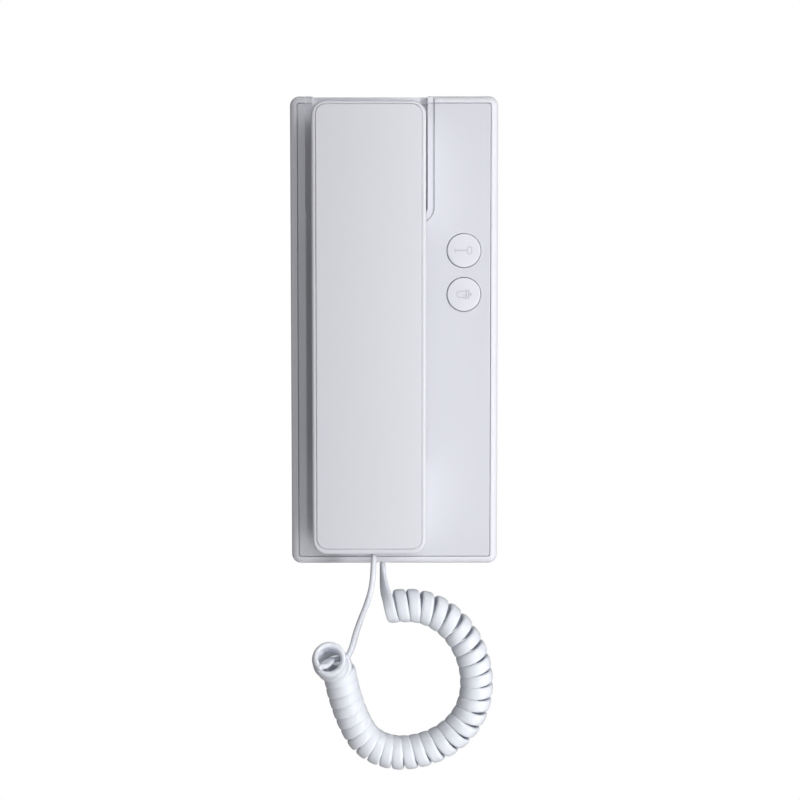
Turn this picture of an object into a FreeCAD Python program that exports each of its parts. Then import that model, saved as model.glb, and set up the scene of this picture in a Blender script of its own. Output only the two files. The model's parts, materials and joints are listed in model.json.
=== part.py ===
import FreeCAD, Part
import math
import os
import re

import Sketcher
from FreeCAD import Placement, Rotation, Vector

# A slim handset station for a wall, in millimetres. X runs to the right, Z up, and the wall's face is the
# plane Y = 0. The station stands out towards -Y, and "depth" is always a distance from the wall's face.

SIZES = {
    # the base's case
    "base_depth": 22.0,
    "base_corner": 4.2,
    "rim_wall": 3.2,
    "rim_round": 2.8,
    "back_wall": 2.2,
    "plate_recess": 1.6,
    # the flat front that is let into the rim
    "panel_gap": 0.15,
    "panel_thick": 2.4,
    "panel_drop": 0.2,
    "panel_corner": 1.2,
    "panel_edge": 0.5,
    # the handset's pocket: a small step to a flat border, a notch in that, and a well for the ear end
    "pocket_margin": 1.15,
    "pocket_border": 2.85,
    "pocket_step": 0.35,
    "pocket_drop": 0.9,
    "pocket_corner": 7.1,
    "pocket_overrun": 12.0,
    "notch_drop": 4.3,
    "well_depth": 3.5,
    "well_length": 47.9,
    "well_headroom": 1.5,
    "well_floor_thick": 1.8,
    "well_border": 3.2,
    # the handset
    "handset_width": 48.8,
    "handset_length": 193.4,
    "handset_proud": 23.4,
    "handset_to_left": 11.1,
    "handset_to_top": 6.6,
    "handset_to_bottom": 8.2,
    "handset_corner": 6.2,
    "handset_edge": 1.3,
    "handset_rear_edge": 2.5,
    "handset_bend": 8.0,
    "side_wall": 1.75,
    "top_wall": 1.5,
    "bottom_wall": 2.3,
    "rear_wall": 2.0,
    "ear_gap": 0.4,
    "mouth_gap": 0.4,
    "finger_gap": 9.2,
    "ear_end_length": 37.5,
    "ear_slope_length": 21.5,
    "mouth_end_length": 33.9,
    "mouth_slope_length": 12.0,
    # the handset's front plate
    "cover_gap": 0.1,
    "cover_thick": 2.1,
    "cover_proud": 0.1,
    "cover_crown": 0.35,
    "cover_corner": 4.4,
    "cover_edge": 0.5,
    # the cradle's lug and the way the handset leaves it
    "lug_width": 10.0,
    "lug_height": 3.7,
    "lug_down": 36.0,
    "lug_reach": 5.5,
    "lift_angle": 30.0,
    "lug_clearance": 0.35,
    # push buttons
    "button_to_handset": 6.65,
    "button_to_rim": 1.45,
    "door_button_z": 35.9,
    "button_land": 1.3,
    "button_radius": 7.45,
    "button_clearance": 0.3,
    "button_proud": 0.6,
    "button_crown": 0.5,
    "button_edge": 0.5,
    "button_rim": 1.3,
    "button_flange_thick": 1.0,
    "button_stem": 2.5,
    "button_guide_wall": 1.55,
    "button_guide_length": 2.4,
    "button_rest_gap": 0.1,
    "symbol_depth": 0.3,
    "symbol_line": 0.5,
    "key_bow_aside": 2.45,
    "key_bow_width": 2.4,
    "key_bow_height": 3.6,
    "key_bow_corner": 1.1,
    "dome_radius": 4.5,
    "dome_height": 2.6,
    "dome_skin": 0.6,
    "dome_gap": 0.1,
    "dome_crown_margin": 0.4,
    "dome_slant": 0.3,
    # the sprung pin under the handset's lower end, and its switch
    "hook_up": 23.9,
    "plunger_radius": 3.5,
    "plunger_clearance": 0.3,
    "plunger_tip_gap": 0.1,
    "plunger_tip_round": 0.8,
    "plunger_flange": 5.6,
    "plunger_flange_thick": 1.5,
    "plunger_nub": 2.0,
    "hook_travel": 4.0,
    "hook_stop_gap": 0.2,
    "switch_side": 6.0,
    "switch_height": 3.5,
    "switch_button": 1.75,
    "switch_button_rise": 0.4,
    "switch_gap": 0.1,
    "spring_gap": 0.1,
    "spring_outer": 4.95,
    "spring_inner": 4.45,
    # the circuit board and what stands on it
    "board_thick": 1.6,
    "board_to_rim": 7.5,
    "board_to_bottom": 2.9,
    "board_above_button": 12.1,
    "board_corner": 1.5,
    "board_post": 3.0,
    "board_post_in": 4.5,
    "board_post_down": 4.0,
    "board_post_up": 6.0,
    "board_hole": 1.45,
    "cable_x": -6.0,
    "cable_z": 18.0,
    "cable_width": 20.0,
    "cable_height": 24.0,
    "cable_corner": 2.0,
    "window_margin": 1.0,
    # the steel plate on the wall
    "plate_in": 4.2,
    "plate_up": 6.1,
    "plate_thick": 1.2,
    "plate_corner": 3.0,
    "plate_clearance": 0.3,
    "wall_hole_radius": 2.25,
    "wall_hole_spacing": 120.0,
    "box_slot_spacing": 60.0,
    "box_slot_length": 8.0,
    "head_room_radius": 6.0,
    "tab_x": 20.0,
    "tab_in": 7.0,
    "tab_width": 12.0,
    "tab_thick": 1.2,
    "tab_lip": 3.0,
    "tab_clearance": 0.2,
    # the call sounder and the block for the wall's wires
    "ringer_down": 24.0,
    "ringer_radius": 11.0,
    "ringer_thick": 8.4,
    "ringer_bevel": 0.8,
    "ringer_port": 2.2,
    "ringer_port_depth": 2.0,
    "ringer_gap": 0.3,
    "ringer_rib": 1.0,
    "ringer_rib_height": 2.5,
    "terminal_x": 20.0,
    "terminal_gap": 1.9,
    "terminal_width": 10.0,
    "terminal_height": 24.0,
    "terminal_thick": 9.0,
    "terminal_pitch": 5.6,
    "terminal_screw": 1.6,
    "terminal_screw_length": 5.0,
    "terminal_screw_play": 0.1,
    "terminal_screw_sunk": 0.6,
    "terminal_slot": 0.5,
    "terminal_entry": 2.4,
    "terminal_entry_up": 1.0,
    "terminal_entry_depth": 1.5,
    "can_radius": 3.15,
    "can_height": 8.0,
    "can_groove": 0.2,
    "can_groove_up": 1.2,
    "can_groove_height": 0.8,
    "chip_side": 7.0,
    "chip_thick": 1.6,
    # screws that hold the front panel, put in through the back wall
    "boss_radius": 2.7,
    "boss_gap": 0.2,
    "boss_root": 0.5,
    "boss_top_in": 13.2,
    "boss_top_down": 6.75,
    "boss_low_in": 6.7,
    "boss_low_up": 3.75,
    "screw_shank": 1.25,
    "screw_hole": 1.3,
    "screw_neck": 0.3,
    "screw_tip_gap": 0.4,
    "pilot_spare": 0.2,
    "slot_depth": 0.6,
    "cross_slot": 0.6,
    "cross_width": 2.4,
    "panel_screw_head": 2.5,
    "panel_screw_head_thick": 1.4,
    "panel_screw_length": 10.0,
    "board_screw_head": 2.4,
    "board_screw_head_thick": 1.2,
    # the handset's screws
    "post_radius": 4.0,
    "post_down": 9.2,
    "post_web": 3.0,
    "post_recess": 2.6,
    "post_in": 4.65,
    "post_ear_down": 8.5,
    "post_mouth_up": 9.4,
    "cover_boss": 3.0,
    "handset_screw_head": 2.3,
    "handset_screw_head_thick": 1.7,
    "handset_screw_length": 8.0,
    # ear and mouth
    "earpiece_down": 15.5,
    "earpiece_radius": 12.6,
    "earpiece_thick": 7.0,
    "earpiece_dish": 0.6,
    "earpiece_lip": 1.0,
    "magnet_thick": 3.0,
    "magnet_in": 2.6,
    "gasket_thick": 1.0,
    "gasket_inner": 9.8,
    "sound_hole": 0.9,
    "sound_ring": 5.5,
    "microphone_aside": 12.0,
    "microphone_up": 24.9,
    "microphone_radius": 4.8,
    "microphone_thick": 6.4,
    "boot_wall": 1.6,
    "boot_floor": 1.0,
    "boot_height": 6.8,
    "weight_z": -6.0,
    "weight_width": 20.0,
    "weight_height": 60.0,
    "weight_thick": 4.0,
    # the cord, its plugs and sockets
    "cord_diameter": 3.6,
    "plug_width": 6.6,
    "plug_thick": 7.7,
    "plug_length": 12.0,
    "plug_clearance": 0.15,
    "plug_latch_width": 3.2,
    "plug_latch_thick": 0.35,
    "plug_latch_up": 4.0,
    "plug_latch_length": 6.0,
    "contact_pitch": 1.02,
    "contact_width": 0.5,
    "contact_length": 2.6,
    "contact_depth": 1.0,
    "contact_down": 2.0,
    "jack_wall": 2.1,
    "jack_front_wall": 1.0,
    "jack_rear_wall": 0.8,
    "handset_jack_front_wall": 0.1,
    "handset_jack_rear_wall": 1.0,
    "handset_jack_gap": 0.1,
    "jack_length": 13.0,
    "jack_up": 1.5,
    "jack_mouth": 3.0,
    "base_cord_x": -5.5,
    "base_jack_front": 19.2,
    "base_plug_up": 4.6,
    "exit_width": 5.6,
    "exit_from": 8.0,
    "exit_lip": 0.7,
    "exit_corner": 2.7,
    "handset_cord_aside": 1.9,
    "handset_plug_up": 1.3,
    "handset_exit_width": 7.0,
    "handset_exit_gap": 0.35,
    "handset_exit_lip": 0.6,
    "handset_exit_corner": 1.0,
    "handset_exit_spare": 0.3,
    "coil_radius": 5.7,
    "ring_pitch": 4.6,
    "climb_length": 6.4,
    # how far a cut runs on past the surface that it opens
    "overcut": 1.0,
}

WORKED_OUT = {
    "button_flange": "button_radius + button_rim",
    "guide_bore": "button_flange + button_clearance",
    "button_guide": "guide_bore + button_guide_wall",
    "right_land": "button_to_handset + 2 * button_guide + button_to_rim + rim_wall",
    "base_width": "handset_to_left + handset_width + right_land",
    "base_height": "handset_to_top + handset_length + handset_to_bottom",
    "handset_x": "handset_to_left + handset_width / 2 - base_width / 2",
    "handset_high": "base_height / 2 - handset_to_top",
    "handset_low": "handset_to_bottom - base_height / 2",
    "button_x": "base_width / 2 - rim_wall - button_to_rim - button_guide",
    "call_button_z": "door_button_z - 2 * guide_bore - button_land",
    "panel_front": "base_depth - panel_drop",
    "panel_rear": "panel_front - panel_thick",
    "opening_width": "base_width - 2 * rim_wall",
    "opening_height": "base_height - 2 * rim_wall",
    "panel_width": "opening_width - 2 * panel_gap",
    "panel_height": "opening_height - 2 * panel_gap",
    "back_front": "plate_recess + back_wall",
    "plate_width": "base_width - 2 * plate_in",
    "plate_height": "base_height - 2 * plate_up",
    "tab_z": "plate_height / 2 - tab_in",
    "recess_width": "plate_width + 2 * plate_clearance",
    "recess_height": "plate_height + 2 * plate_clearance",
    "recess_corner": "plate_corner + plate_clearance",
    "base_cord_depth": "base_jack_front - jack_front_wall - plug_clearance - plug_thick / 2",
    "board_front": "base_cord_depth - plug_thick / 2 - plug_latch_thick - jack_rear_wall",
    "board_rear": "board_front - board_thick",
    "board_stand": "board_rear - back_front",
    "board_high": "door_button_z + board_above_button",
    "board_low": "board_to_bottom - opening_height / 2",
    "board_width": "opening_width - 2 * board_to_rim",
    "board_height": "board_high - board_low",
    "board_z": "(board_high + board_low) / 2",
    "board_post_x": "board_width / 2 - board_post_in",
    "board_post_high": "board_high - board_post_down",
    "board_post_low": "board_low + board_post_up",
    "boss_top_x": "base_width / 2 - boss_top_in",
    "boss_top_z": "panel_height / 2 - boss_top_down",
    "boss_low_x": "base_width / 2 - boss_low_in",
    "boss_low_z": "boss_low_up - panel_height / 2",
    "ringer_x": "opening_width / 2 - 2 * ringer_gap - ringer_rib - ringer_radius",
    "ringer_z": "well_high - ringer_down",
    "terminal_z": "call_button_z - button_guide - terminal_gap - terminal_height / 2",
    "window_width": "cable_width + 2 * window_margin",
    "window_height": "cable_height + 2 * window_margin",
    "notch_floor": "panel_front - notch_drop",
    "well_floor": "notch_floor - well_depth",
    "well_high": "handset_high + well_headroom",
    "well_low": "well_high - well_length",
    "well_rear": "well_floor - well_floor_thick",
    "well_width": "handset_width + 2 * pocket_margin",
    "well_height": "well_high - well_low",
    "well_z": "(well_high + well_low) / 2",
    "well_corner": "pocket_corner - pocket_border - pocket_step",
    "pocket_width": "well_width + 2 * (pocket_border + pocket_step)",
    "pocket_low": "well_low - pocket_border - pocket_step",
    "pocket_height": "base_height / 2 + pocket_overrun - pocket_low",
    "pocket_z": "pocket_low + pocket_height / 2",
    "notch_height": "base_height / 2 + pocket_overrun - well_low",
    "notch_z": "well_low + notch_height / 2",
    "block_width": "well_width + 2 * well_border",
    "block_low": "well_low - well_border",
    "block_height": "panel_height / 2 - block_low",
    "block_z": "block_low + block_height / 2",
    "ear_rear": "well_floor + ear_gap",
    "mouth_rear": "panel_front + mouth_gap",
    "grip_rear": "panel_front + finger_gap",
    "handset_front": "panel_front + handset_proud",
    "handset_z": "(handset_high + handset_low) / 2",
    "ear_slope_high": "handset_high - ear_end_length",
    "ear_slope_low": "ear_slope_high - ear_slope_length",
    "mouth_slope_low": "handset_low + mouth_end_length",
    "mouth_slope_high": "mouth_slope_low + mouth_slope_length",
    "cavity_width": "handset_width - 2 * side_wall",
    "cavity_high": "handset_high - top_wall",
    "cavity_low": "handset_low + bottom_wall",
    "cavity_corner": "cover_corner + cover_gap",
    "ear_shift": "rear_wall * tan(atan((grip_rear - ear_rear) / (ear_slope_high - ear_slope_low)) / 2)",
    "mouth_slope": "(grip_rear - mouth_rear) / (mouth_slope_high - mouth_slope_low)",
    "mouth_shift": "rear_wall * tan(atan(mouth_slope) / 2)",
    "cover_width": "cavity_width - 2 * cover_gap",
    "cover_height": "cavity_high - cavity_low - 2 * cover_gap",
    "cover_z": "(cavity_high + cavity_low) / 2",
    "cover_side": "handset_front + cover_proud",
    "cover_inner": "cover_side - cover_thick",
    "cover_bow": "(cover_width * cover_width / 4 + cover_crown * cover_crown) / (2 * cover_crown)",
    "ear_slope_run": "(ear_slope_high - ear_slope_low) / (grip_rear - ear_rear)",
    "lug_low": "handset_high - lug_down",
    "lug_rise": "lug_reach * tan(lift_angle)",
    "button_hole": "button_radius + button_clearance",
    "button_top": "panel_front + button_proud",
    "button_face": "button_top + button_crown",
    "button_bow": "(button_radius * button_radius + button_crown * button_crown) / (2 * button_crown)",
    "key_eye_width": "key_bow_width - 2 * symbol_line",
    "key_eye_height": "key_bow_height - 2 * symbol_line",
    "key_eye_corner": "key_bow_corner - symbol_line",
    "flange_front": "panel_rear - button_rest_gap",
    "flange_rear": "flange_front - button_flange_thick",
    "dome_top": "board_front + dome_height",
    "hook_z": "handset_low + hook_up",
    "plunger_tip": "mouth_rear - plunger_tip_gap",
    "plunger_hole": "plunger_radius + plunger_clearance",
    "plunger_shoulder": "panel_rear - hook_stop_gap - hook_travel",
    "plunger_under": "plunger_shoulder - plunger_flange_thick",
    "switch_top": "board_front + switch_height + switch_button_rise",
    "ear_floor": "ear_rear + rear_wall",
    "mouth_floor": "mouth_rear + rear_wall",
    "grip_floor": "grip_rear + rear_wall",
    "post_face": "handset_front - post_down",
    "post_seat": "post_face - post_web",
    "post_side_x": "cavity_width / 2 - post_in",
    "post_ear_z": "handset_high - post_ear_down",
    "post_mouth_z": "handset_low + post_mouth_up",
    "earpiece_z": "handset_high - earpiece_down",
    "microphone_x": "handset_x - microphone_aside",
    "microphone_z": "handset_low + microphone_up",
    "handset_cord_x": "handset_x + handset_cord_aside",
    "handset_jack_front": "cover_inner - handset_jack_gap",
    "handset_cord_depth": "handset_jack_front - handset_jack_front_wall - plug_clearance - plug_thick / 2",
    "handset_plug_low": "handset_low + handset_plug_up",
    "base_plug_low": "base_plug_up - base_height / 2",
    "jack_width": "plug_width + 2 * (plug_clearance + jack_wall)",
    "tab_slot_width": "tab_width + 4 * tab_clearance",
    "tab_slot_height": "tab_thick + tab_lip + 4 * tab_clearance",
    "exit_to": "base_depth - exit_lip",
    "exit_length": "exit_to - exit_from",
    "handset_exit_from": "handset_cord_depth - plug_thick / 2 - handset_exit_gap",
    "handset_exit_to": "handset_front - handset_exit_lip",
    "handset_exit_length": "handset_exit_to - handset_exit_from",
    "base_jack_low": "base_plug_low + jack_up",
    "handset_jack_rear": "handset_cord_depth - plug_thick / 2 - handset_jack_rear_wall",
    "handset_jack_low": "handset_plug_low + jack_up",
}

# Where the board's cans and chips stand, X and Z, and the four ways of a terminal block or a plug, as steps
# from its middle.
CAN_PLACES = [("-26", "-22"), ("-26", "-31"), ("-17.5", "-26.5")]
CHIP_PLACES = [("14", "-34"), ("14", "-50")]
FOUR_WAYS = ["-1.5", "-0.5", "0.5", "1.5"]

# The middle line of the curly stretch: X, depth and Z of the points that pull it into shape, from the base's
# end, round the lower loop, up the left side and over towards the room at the handset's end.
COIL_ROUTE = [
    (-2.4, 20.5, -124.2),
    (16.4, 20.5, -122.6),
    (30.4, 20.8, -135.2),
    (36.9, 21.2, -149.5),
    (38.2, 21.6, -164.5),
    (29.6, 21.9, -178.2),
    (17.4, 22.2, -187.2),
    (2.4, 22.5, -189.2),
    (-12.6, 23.0, -185.2),
    (-19.6, 24.0, -170.4),
    (-24.9, 25.6, -155.6),
    (-28.0, 34.0, -149.4),
    (-29.3, 43.2, -146.6),
]
COIL_TURNS = 31
# The cord's last stretch inside and behind the end ring, in the ring's own frame: to the right, up and
# towards the room from the ring's middle, with the cord's direction at each point.
RING_END = [
    ((-5.36, 5.17, 2.27), (-0.07, 0.92, 0.38)),
    ((2.47, 1.86, 3.20), (-0.49, -0.39, -0.78)),
    ((0.75, -0.39, -2.71), (0.10, 0.04, -0.99)),
    ((4.75, 1.55, -6.87), (0.94, 0.35, -0.04)),
    ((7.38, 3.99, -6.78), (0.43, 0.89, 0.17)),
]
# The straight stretches, from a plug's lower end to the curls.
BASE_TAIL = [(-5.5, 14.2, -99.5), (-5.5, 14.2, -106.2)]
HANDSET_TAIL = [(-8.8, 39.0, -94.6), (-8.8, 39.0, -104.0), (-11.2, 38.3, -114.8), (-14.2, 37.4, -125.2)]

# The buttons' engraved signs, to the right and up from a button's middle. Both lie on their side: the key's
# shank with its bit on the left, and the bell's two outlines with the lip beyond its mouth.
KEY_SHANK = [
    ("-4.1", "-0.8"),
    ("-3.6", "-0.8"),
    ("-3.6", "-0.3"),
    ("1.4", "-0.3"),
    ("1.4", "0.3"),
    ("-3.6", "0.3"),
    ("-3.6", "0.8"),
    ("-4.1", "0.8"),
]
BELL_OUTSIDE = [
    ("-3.3", "-0.9"),
    ("-2.5", "-1.5"),
    ("0.2", "-1.7"),
    ("1.2", "-2.3"),
    ("1.2", "2.3"),
    ("0.2", "1.7"),
    ("-2.5", "1.5"),
    ("-3.3", "0.9"),
]
BELL_INSIDE = [
    ("-2.85", "-0.65"),
    ("-2.3", "-1.05"),
    ("0.05", "-1.22"),
    ("0.75", "-1.65"),
    ("0.75", "1.65"),
    ("0.05", "1.22"),
    ("-2.3", "1.05"),
    ("-2.85", "0.65"),
]
BELL_LIP = [("1.85", "-2.1"), ("2.35", "-2.1"), ("2.35", "2.1"), ("1.85", "2.1")]

NEAR = 0.01
QUARTER = 0.25

doc = FreeCAD.newDocument("wall_handset_station")
SHEET_OF = {}
PIECES = []


def bind(text):
    """The formula with the sheet's name before each named size."""

    def with_sheet(word):
        name = word.group(0)
        return f"{SHEET_OF[name]}.{name}" if name in SHEET_OF else name

    return re.sub(r"[a-z_]+", with_sheet, text)


def fill_sheet(name, contents):
    sheet = doc.addObject("Spreadsheet::Sheet", name)
    for row, alias in enumerate(contents, start=1):
        sheet.set(f"A{row}", alias.replace("_", " "))
        sheet.set(f"B{row}", "1")
        sheet.setAlias(f"B{row}", alias)
        SHEET_OF[alias] = name
    for row, content in enumerate(contents.values(), start=1):
        formula = "=" + bind(content) if isinstance(content, str) else str(content)
        sheet.set(f"B{row}", formula.replace(name + ".", ""))
    doc.recompute()


def number(alias):
    """The present value of one named size."""
    return float(getattr(doc.getObject(SHEET_OF[alias]), alias))


def bound(thing, place, text):
    thing.setExpression(place, bind(text))


def new_body(label):
    body = doc.addObject("PartDesign::Body", label)
    body.Label = label
    PIECES.append(body)
    return body


def sketch_on(body, role, across="0", up="0", out="0"):
    """A sketch on one of the body's own origin planes, shifted by formulas in the plane's own directions."""
    plane = next(feature for feature in body.Origin.OriginFeatures if feature.Role == role)
    sketch = body.newObject("Sketcher::SketchObject", body.Label + "_sketch")
    sketch.AttachmentSupport = (plane, [""])
    sketch.MapMode = "FlatFace"
    for axis, text in zip("xyz", (across, up, out)):
        bound(sketch, "AttachmentOffset.Base." + axis, text)
    return sketch


def front_sketch(body, x="0", z="0", depth="0"):
    """A sketch seen from the room, at a depth: its own directions are X and Z."""
    return sketch_on(body, "XZ_Plane", x, z, depth)


def side_sketch(body, x="0"):
    """A sketch seen from the side, at a distance along X: its own directions are Y and Z."""
    return sketch_on(body, "YZ_Plane", out=x)


def level_sketch(body, x="0", depth="0", z="0"):
    """A sketch seen from above, at a height: its own directions are X and Y."""
    return sketch_on(body, "XY_Plane", x, f"-({depth})", z)


def pin(sketch, geometry, point, across, up, now=(1.0, 1.0)):
    """Places one point of the sketch by two formulas, from where it is now."""
    if across == "0":
        sketch.addConstraint(Sketcher.Constraint("PointOnObject", geometry, point, -2))
    else:
        index = sketch.addConstraint(Sketcher.Constraint("DistanceX", -1, 1, geometry, point, now[0]))
        bound(sketch, f"Constraints[{index}]", across)
    if up == "0":
        sketch.addConstraint(Sketcher.Constraint("PointOnObject", geometry, point, -1))
    else:
        index = sketch.addConstraint(Sketcher.Constraint("DistanceY", -1, 1, geometry, point, now[1]))
        bound(sketch, f"Constraints[{index}]", up)


def polygon(sketch, corners):
    """A closed outline of straight lines through corners given as pairs of formulas."""
    count = len(corners)
    turns = [2 * math.pi * i / count for i in range(count)]
    ring = [Vector(math.cos(turn), math.sin(turn), 0) for turn in turns]
    first = sketch.GeometryCount
    for i in range(count):
        sketch.addGeometry(Part.LineSegment(ring[i], ring[(i + 1) % count]), False)
    for i in range(count):
        sketch.addConstraint(Sketcher.Constraint("Coincident", first + i, 2, first + (i + 1) % count, 1))
        pin(sketch, first + i, 1, *corners[i])


def circles(sketch, places, radius):
    """Circles of one radius round centres given as pairs of formulas."""
    for across, up in places:
        circle = sketch.addGeometry(Part.Circle(Vector(1, 1, 0), Vector(0, 0, 1), 1.0), False)
        pin(sketch, circle, 3, across, up)
        index = sketch.addConstraint(Sketcher.Constraint("Radius", circle, 1.0))
        bound(sketch, f"Constraints[{index}]", radius)


def rounded_rectangle(sketch, width, height, corner):
    """A rectangle round the sketch's origin with round corners, from three named sizes."""
    w, h, r = number(width) / 2, number(height) / 2, number(corner)
    lines = [
        ((r - w, -h), (w - r, -h)),
        ((w, r - h), (w, h - r)),
        ((w - r, h), (r - w, h)),
        ((-w, h - r), (-w, r - h)),
    ]
    centres = [(w - r, r - h), (w - r, h - r), (r - w, h - r), (r - w, r - h)]
    first = sketch.GeometryCount
    for side, (line, centre) in enumerate(zip(lines, centres)):
        start, end = line
        sketch.addGeometry(Part.LineSegment(Vector(*start, 0), Vector(*end, 0)), False)
        circle = Part.Circle(Vector(*centre, 0), Vector(0, 0, 1), r)
        turned = side * math.pi / 2
        sketch.addGeometry(Part.ArcOfCircle(circle, turned - math.pi / 2, turned), False)
    for side in range(4):
        line, arc, following = first + 2 * side, first + 2 * side + 1, first + (2 * side + 2) % 8
        sketch.addConstraint(Sketcher.Constraint("Tangent", line, 2, arc, 1))
        sketch.addConstraint(Sketcher.Constraint("Tangent", arc, 2, following, 1))
        sketch.addConstraint(Sketcher.Constraint("Horizontal" if side % 2 == 0 else "Vertical", line))
        if side:
            sketch.addConstraint(Sketcher.Constraint("Equal", first + 1, arc))
    sketch.addConstraint(Sketcher.Constraint("Symmetric", first, 1, first + 4, 1, -1, 1))
    for kind, elements, size, value in (
        ("DistanceX", (first + 6, 1, first + 2, 1), width, 2 * w),
        ("DistanceY", (first, 1, first + 4, 1), height, 2 * h),
        ("Radius", (first + 1,), corner, r),
    ):
        index = sketch.addConstraint(Sketcher.Constraint(kind, *elements, value))
        bound(sketch, f"Constraints[{index}]", size)


def checked(feature, before, grows):
    """Recomputes and makes sure that a feature did add or take material."""
    doc.recompute()
    if "Invalid" in feature.State or feature.Shape.isNull():
        raise RuntimeError(f"{feature.Label} failed")
    change = feature.Shape.Volume - before
    if (change > 0) != grows or abs(change) < NEAR:
        raise RuntimeError(f"{feature.Label} changed the volume by {change:.3f}")
    return feature


def volume_of(body):
    return body.Tip.Shape.Volume if body.Tip and hasattr(body.Tip, "Shape") else 0.0


def pad(body, sketch, length, both_ways=False, backwards=False):
    before = volume_of(body)
    feature = body.newObject("PartDesign::Pad", sketch.Label + "_pad")
    feature.Profile = sketch
    feature.SideType = "Symmetric" if both_ways else "One side"
    feature.Reversed = backwards
    bound(feature, "Length", length)
    return checked(feature, before, True)


def pocket(body, sketch, length, both_ways=False, backwards=False, taper=None):
    """Cuts against the sketch's own direction, or along it when backwards."""
    before = volume_of(body)
    feature = body.newObject("PartDesign::Pocket", sketch.Label + "_pocket")
    feature.Profile = sketch
    feature.SideType = "Symmetric" if both_ways else "One side"
    feature.Reversed = backwards
    bound(feature, "Length", length)
    if taper:
        bound(feature, "TaperAngle", taper)
    return checked(feature, before, False)


def soften(body, radius, chosen, kind="Fillet"):
    """Rounds or bevels those edges of the body that the test picks."""
    base = body.Tip
    names = [f"Edge{i}" for i, edge in enumerate(base.Shape.Edges, start=1) if chosen(edge)]
    if not names:
        raise RuntimeError(f"{body.Label}: no edge to soften")
    feature = body.newObject("PartDesign::" + kind, body.Label + "_" + kind.lower())
    feature.Base = (base, names)
    bound(feature, "Radius" if kind == "Fillet" else "Size", radius)
    doc.recompute()
    if "Invalid" in feature.State or not feature.Shape.isValid():
        raise RuntimeError(f"{feature.Label} failed")
    return feature


def subtract(body, tool):
    """Takes another body's shape out of this one."""
    before = volume_of(body)
    feature = body.newObject("PartDesign::Boolean", body.Label + "_less")
    feature.Type = "Cut"
    feature.addObject(tool)
    return checked(feature, before, False)


def at_depth(edge, depth):
    box = edge.BoundBox
    return abs(box.YMin + depth) < NEAR and abs(box.YMax + depth) < NEAR


def along(edge, axis):
    """Whether an edge is a straight line along X, Y or Z."""
    box = edge.BoundBox
    lengths = {"X": box.XLength, "Y": box.YLength, "Z": box.ZLength}
    rest = [length for name, length in lengths.items() if name != axis]
    return lengths[axis] > NEAR and max(rest) < NEAR


def middle(edge):
    return edge.BoundBox.Center


def revolve(body, sketch):
    """Turns a sketch once round its own upright axis and adds what it sweeps."""
    before = volume_of(body)
    feature = body.newObject("PartDesign::Revolution", body.Label + "_turning")
    feature.Profile = sketch
    feature.ReferenceAxis = (sketch, ["V_Axis"])
    feature.Angle = 360
    return checked(feature, before, True)


def turned(label, x, z, outline):
    """A piece turned about a line square to the wall, from corners given as radius and depth."""
    body = new_body(label)
    sketch = level_sketch(body, x=x, z=z)
    polygon(sketch, [(radius, f"-({depth})") for radius, depth in outline])
    revolve(body, sketch)
    return body


def block(x, depth, z, width, thick, height):
    """A box that starts at a depth and grows towards the room, centred on X and Z."""
    box = doc.addObject("Part::Box", "block")
    bound(box, "Length", width)
    bound(box, "Width", thick)
    bound(box, "Height", height)
    bound(box, "Placement.Base.x", f"{x} - ({width}) / 2")
    bound(box, "Placement.Base.y", f"-({depth}) - ({thick})")
    bound(box, "Placement.Base.z", f"{z} - ({height}) / 2")
    return box


def rod(x, depth, z, radius, length, end_radius=None):
    """A cylinder or cone that starts at a depth and grows towards the room."""
    solid = doc.addObject("Part::Cone" if end_radius else "Part::Cylinder", "rod")
    solid.Placement = Placement(Vector(0, 0, 0), Rotation(Vector(1, 0, 0), 90))
    if end_radius:
        bound(solid, "Radius1", radius)
        bound(solid, "Radius2", end_radius)
    else:
        bound(solid, "Radius", radius)
    bound(solid, "Height", length)
    bound(solid, "Placement.Base.x", x)
    bound(solid, "Placement.Base.y", f"-({depth})")
    bound(solid, "Placement.Base.z", z)
    return solid


def fused(*solids, label="joined"):
    union = doc.addObject("Part::MultiFuse", label)
    union.Shapes = list(solids)
    return union


def taken(base, *tools, label="hollowed"):
    cut = doc.addObject("Part::Cut", label)
    cut.Base = base
    cut.Tool = tools[0] if len(tools) == 1 else fused(*tools)
    return cut


def piece(label, *solids):
    """One node: a finished object, or several like ones side by side."""
    if len(solids) == 1:
        node = solids[0]
    else:
        node = doc.addObject("Part::Compound", label)
        node.Links = list(solids)
    node.Label = label
    PIECES.append(node)
    return node


def make_wall_plate():
    body = new_body("wall_plate")
    sketch = front_sketch(body)
    rounded_rectangle(sketch, "plate_width", "plate_height", "plate_corner")
    pad(body, sketch, "plate_thick")
    for x in ("tab_x", "-tab_x"):
        for z in ("tab_z", "-tab_z"):
            tab = side_sketch(body, x)
            lip, shelf = "-(back_front + tab_clearance)", f"{z} + tab_thick"
            end = "-(back_front + tab_clearance + tab_thick)"
            inside = "-plate_thick / 2"
            corners = [(inside, z), (end, z), (end, f"{shelf} + tab_lip"), (lip, f"{shelf} + tab_lip")]
            polygon(tab, corners + [(lip, shelf), (inside, shelf)])
            pad(body, tab, "tab_width", both_ways=True)
    window = front_sketch(body, "cable_x", "cable_z", "plate_thick")
    rounded_rectangle(window, "cable_width", "cable_height", "cable_corner")
    pocket(body, window, "plate_thick")
    holes = front_sketch(body, depth="plate_thick")
    circles(holes, [("0", "wall_hole_spacing / 2"), ("0", "-wall_hole_spacing / 2")], "wall_hole_radius")
    pocket(body, holes, "plate_thick")
    for side in ("box_slot_spacing / 2", "-box_slot_spacing / 2"):
        slot = front_sketch(body, side, "0", "plate_thick")
        straight = "(box_slot_length / 2 - wall_hole_radius)"
        slot_outline(slot, straight, "wall_hole_radius")
        pocket(body, slot, "plate_thick")


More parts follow.
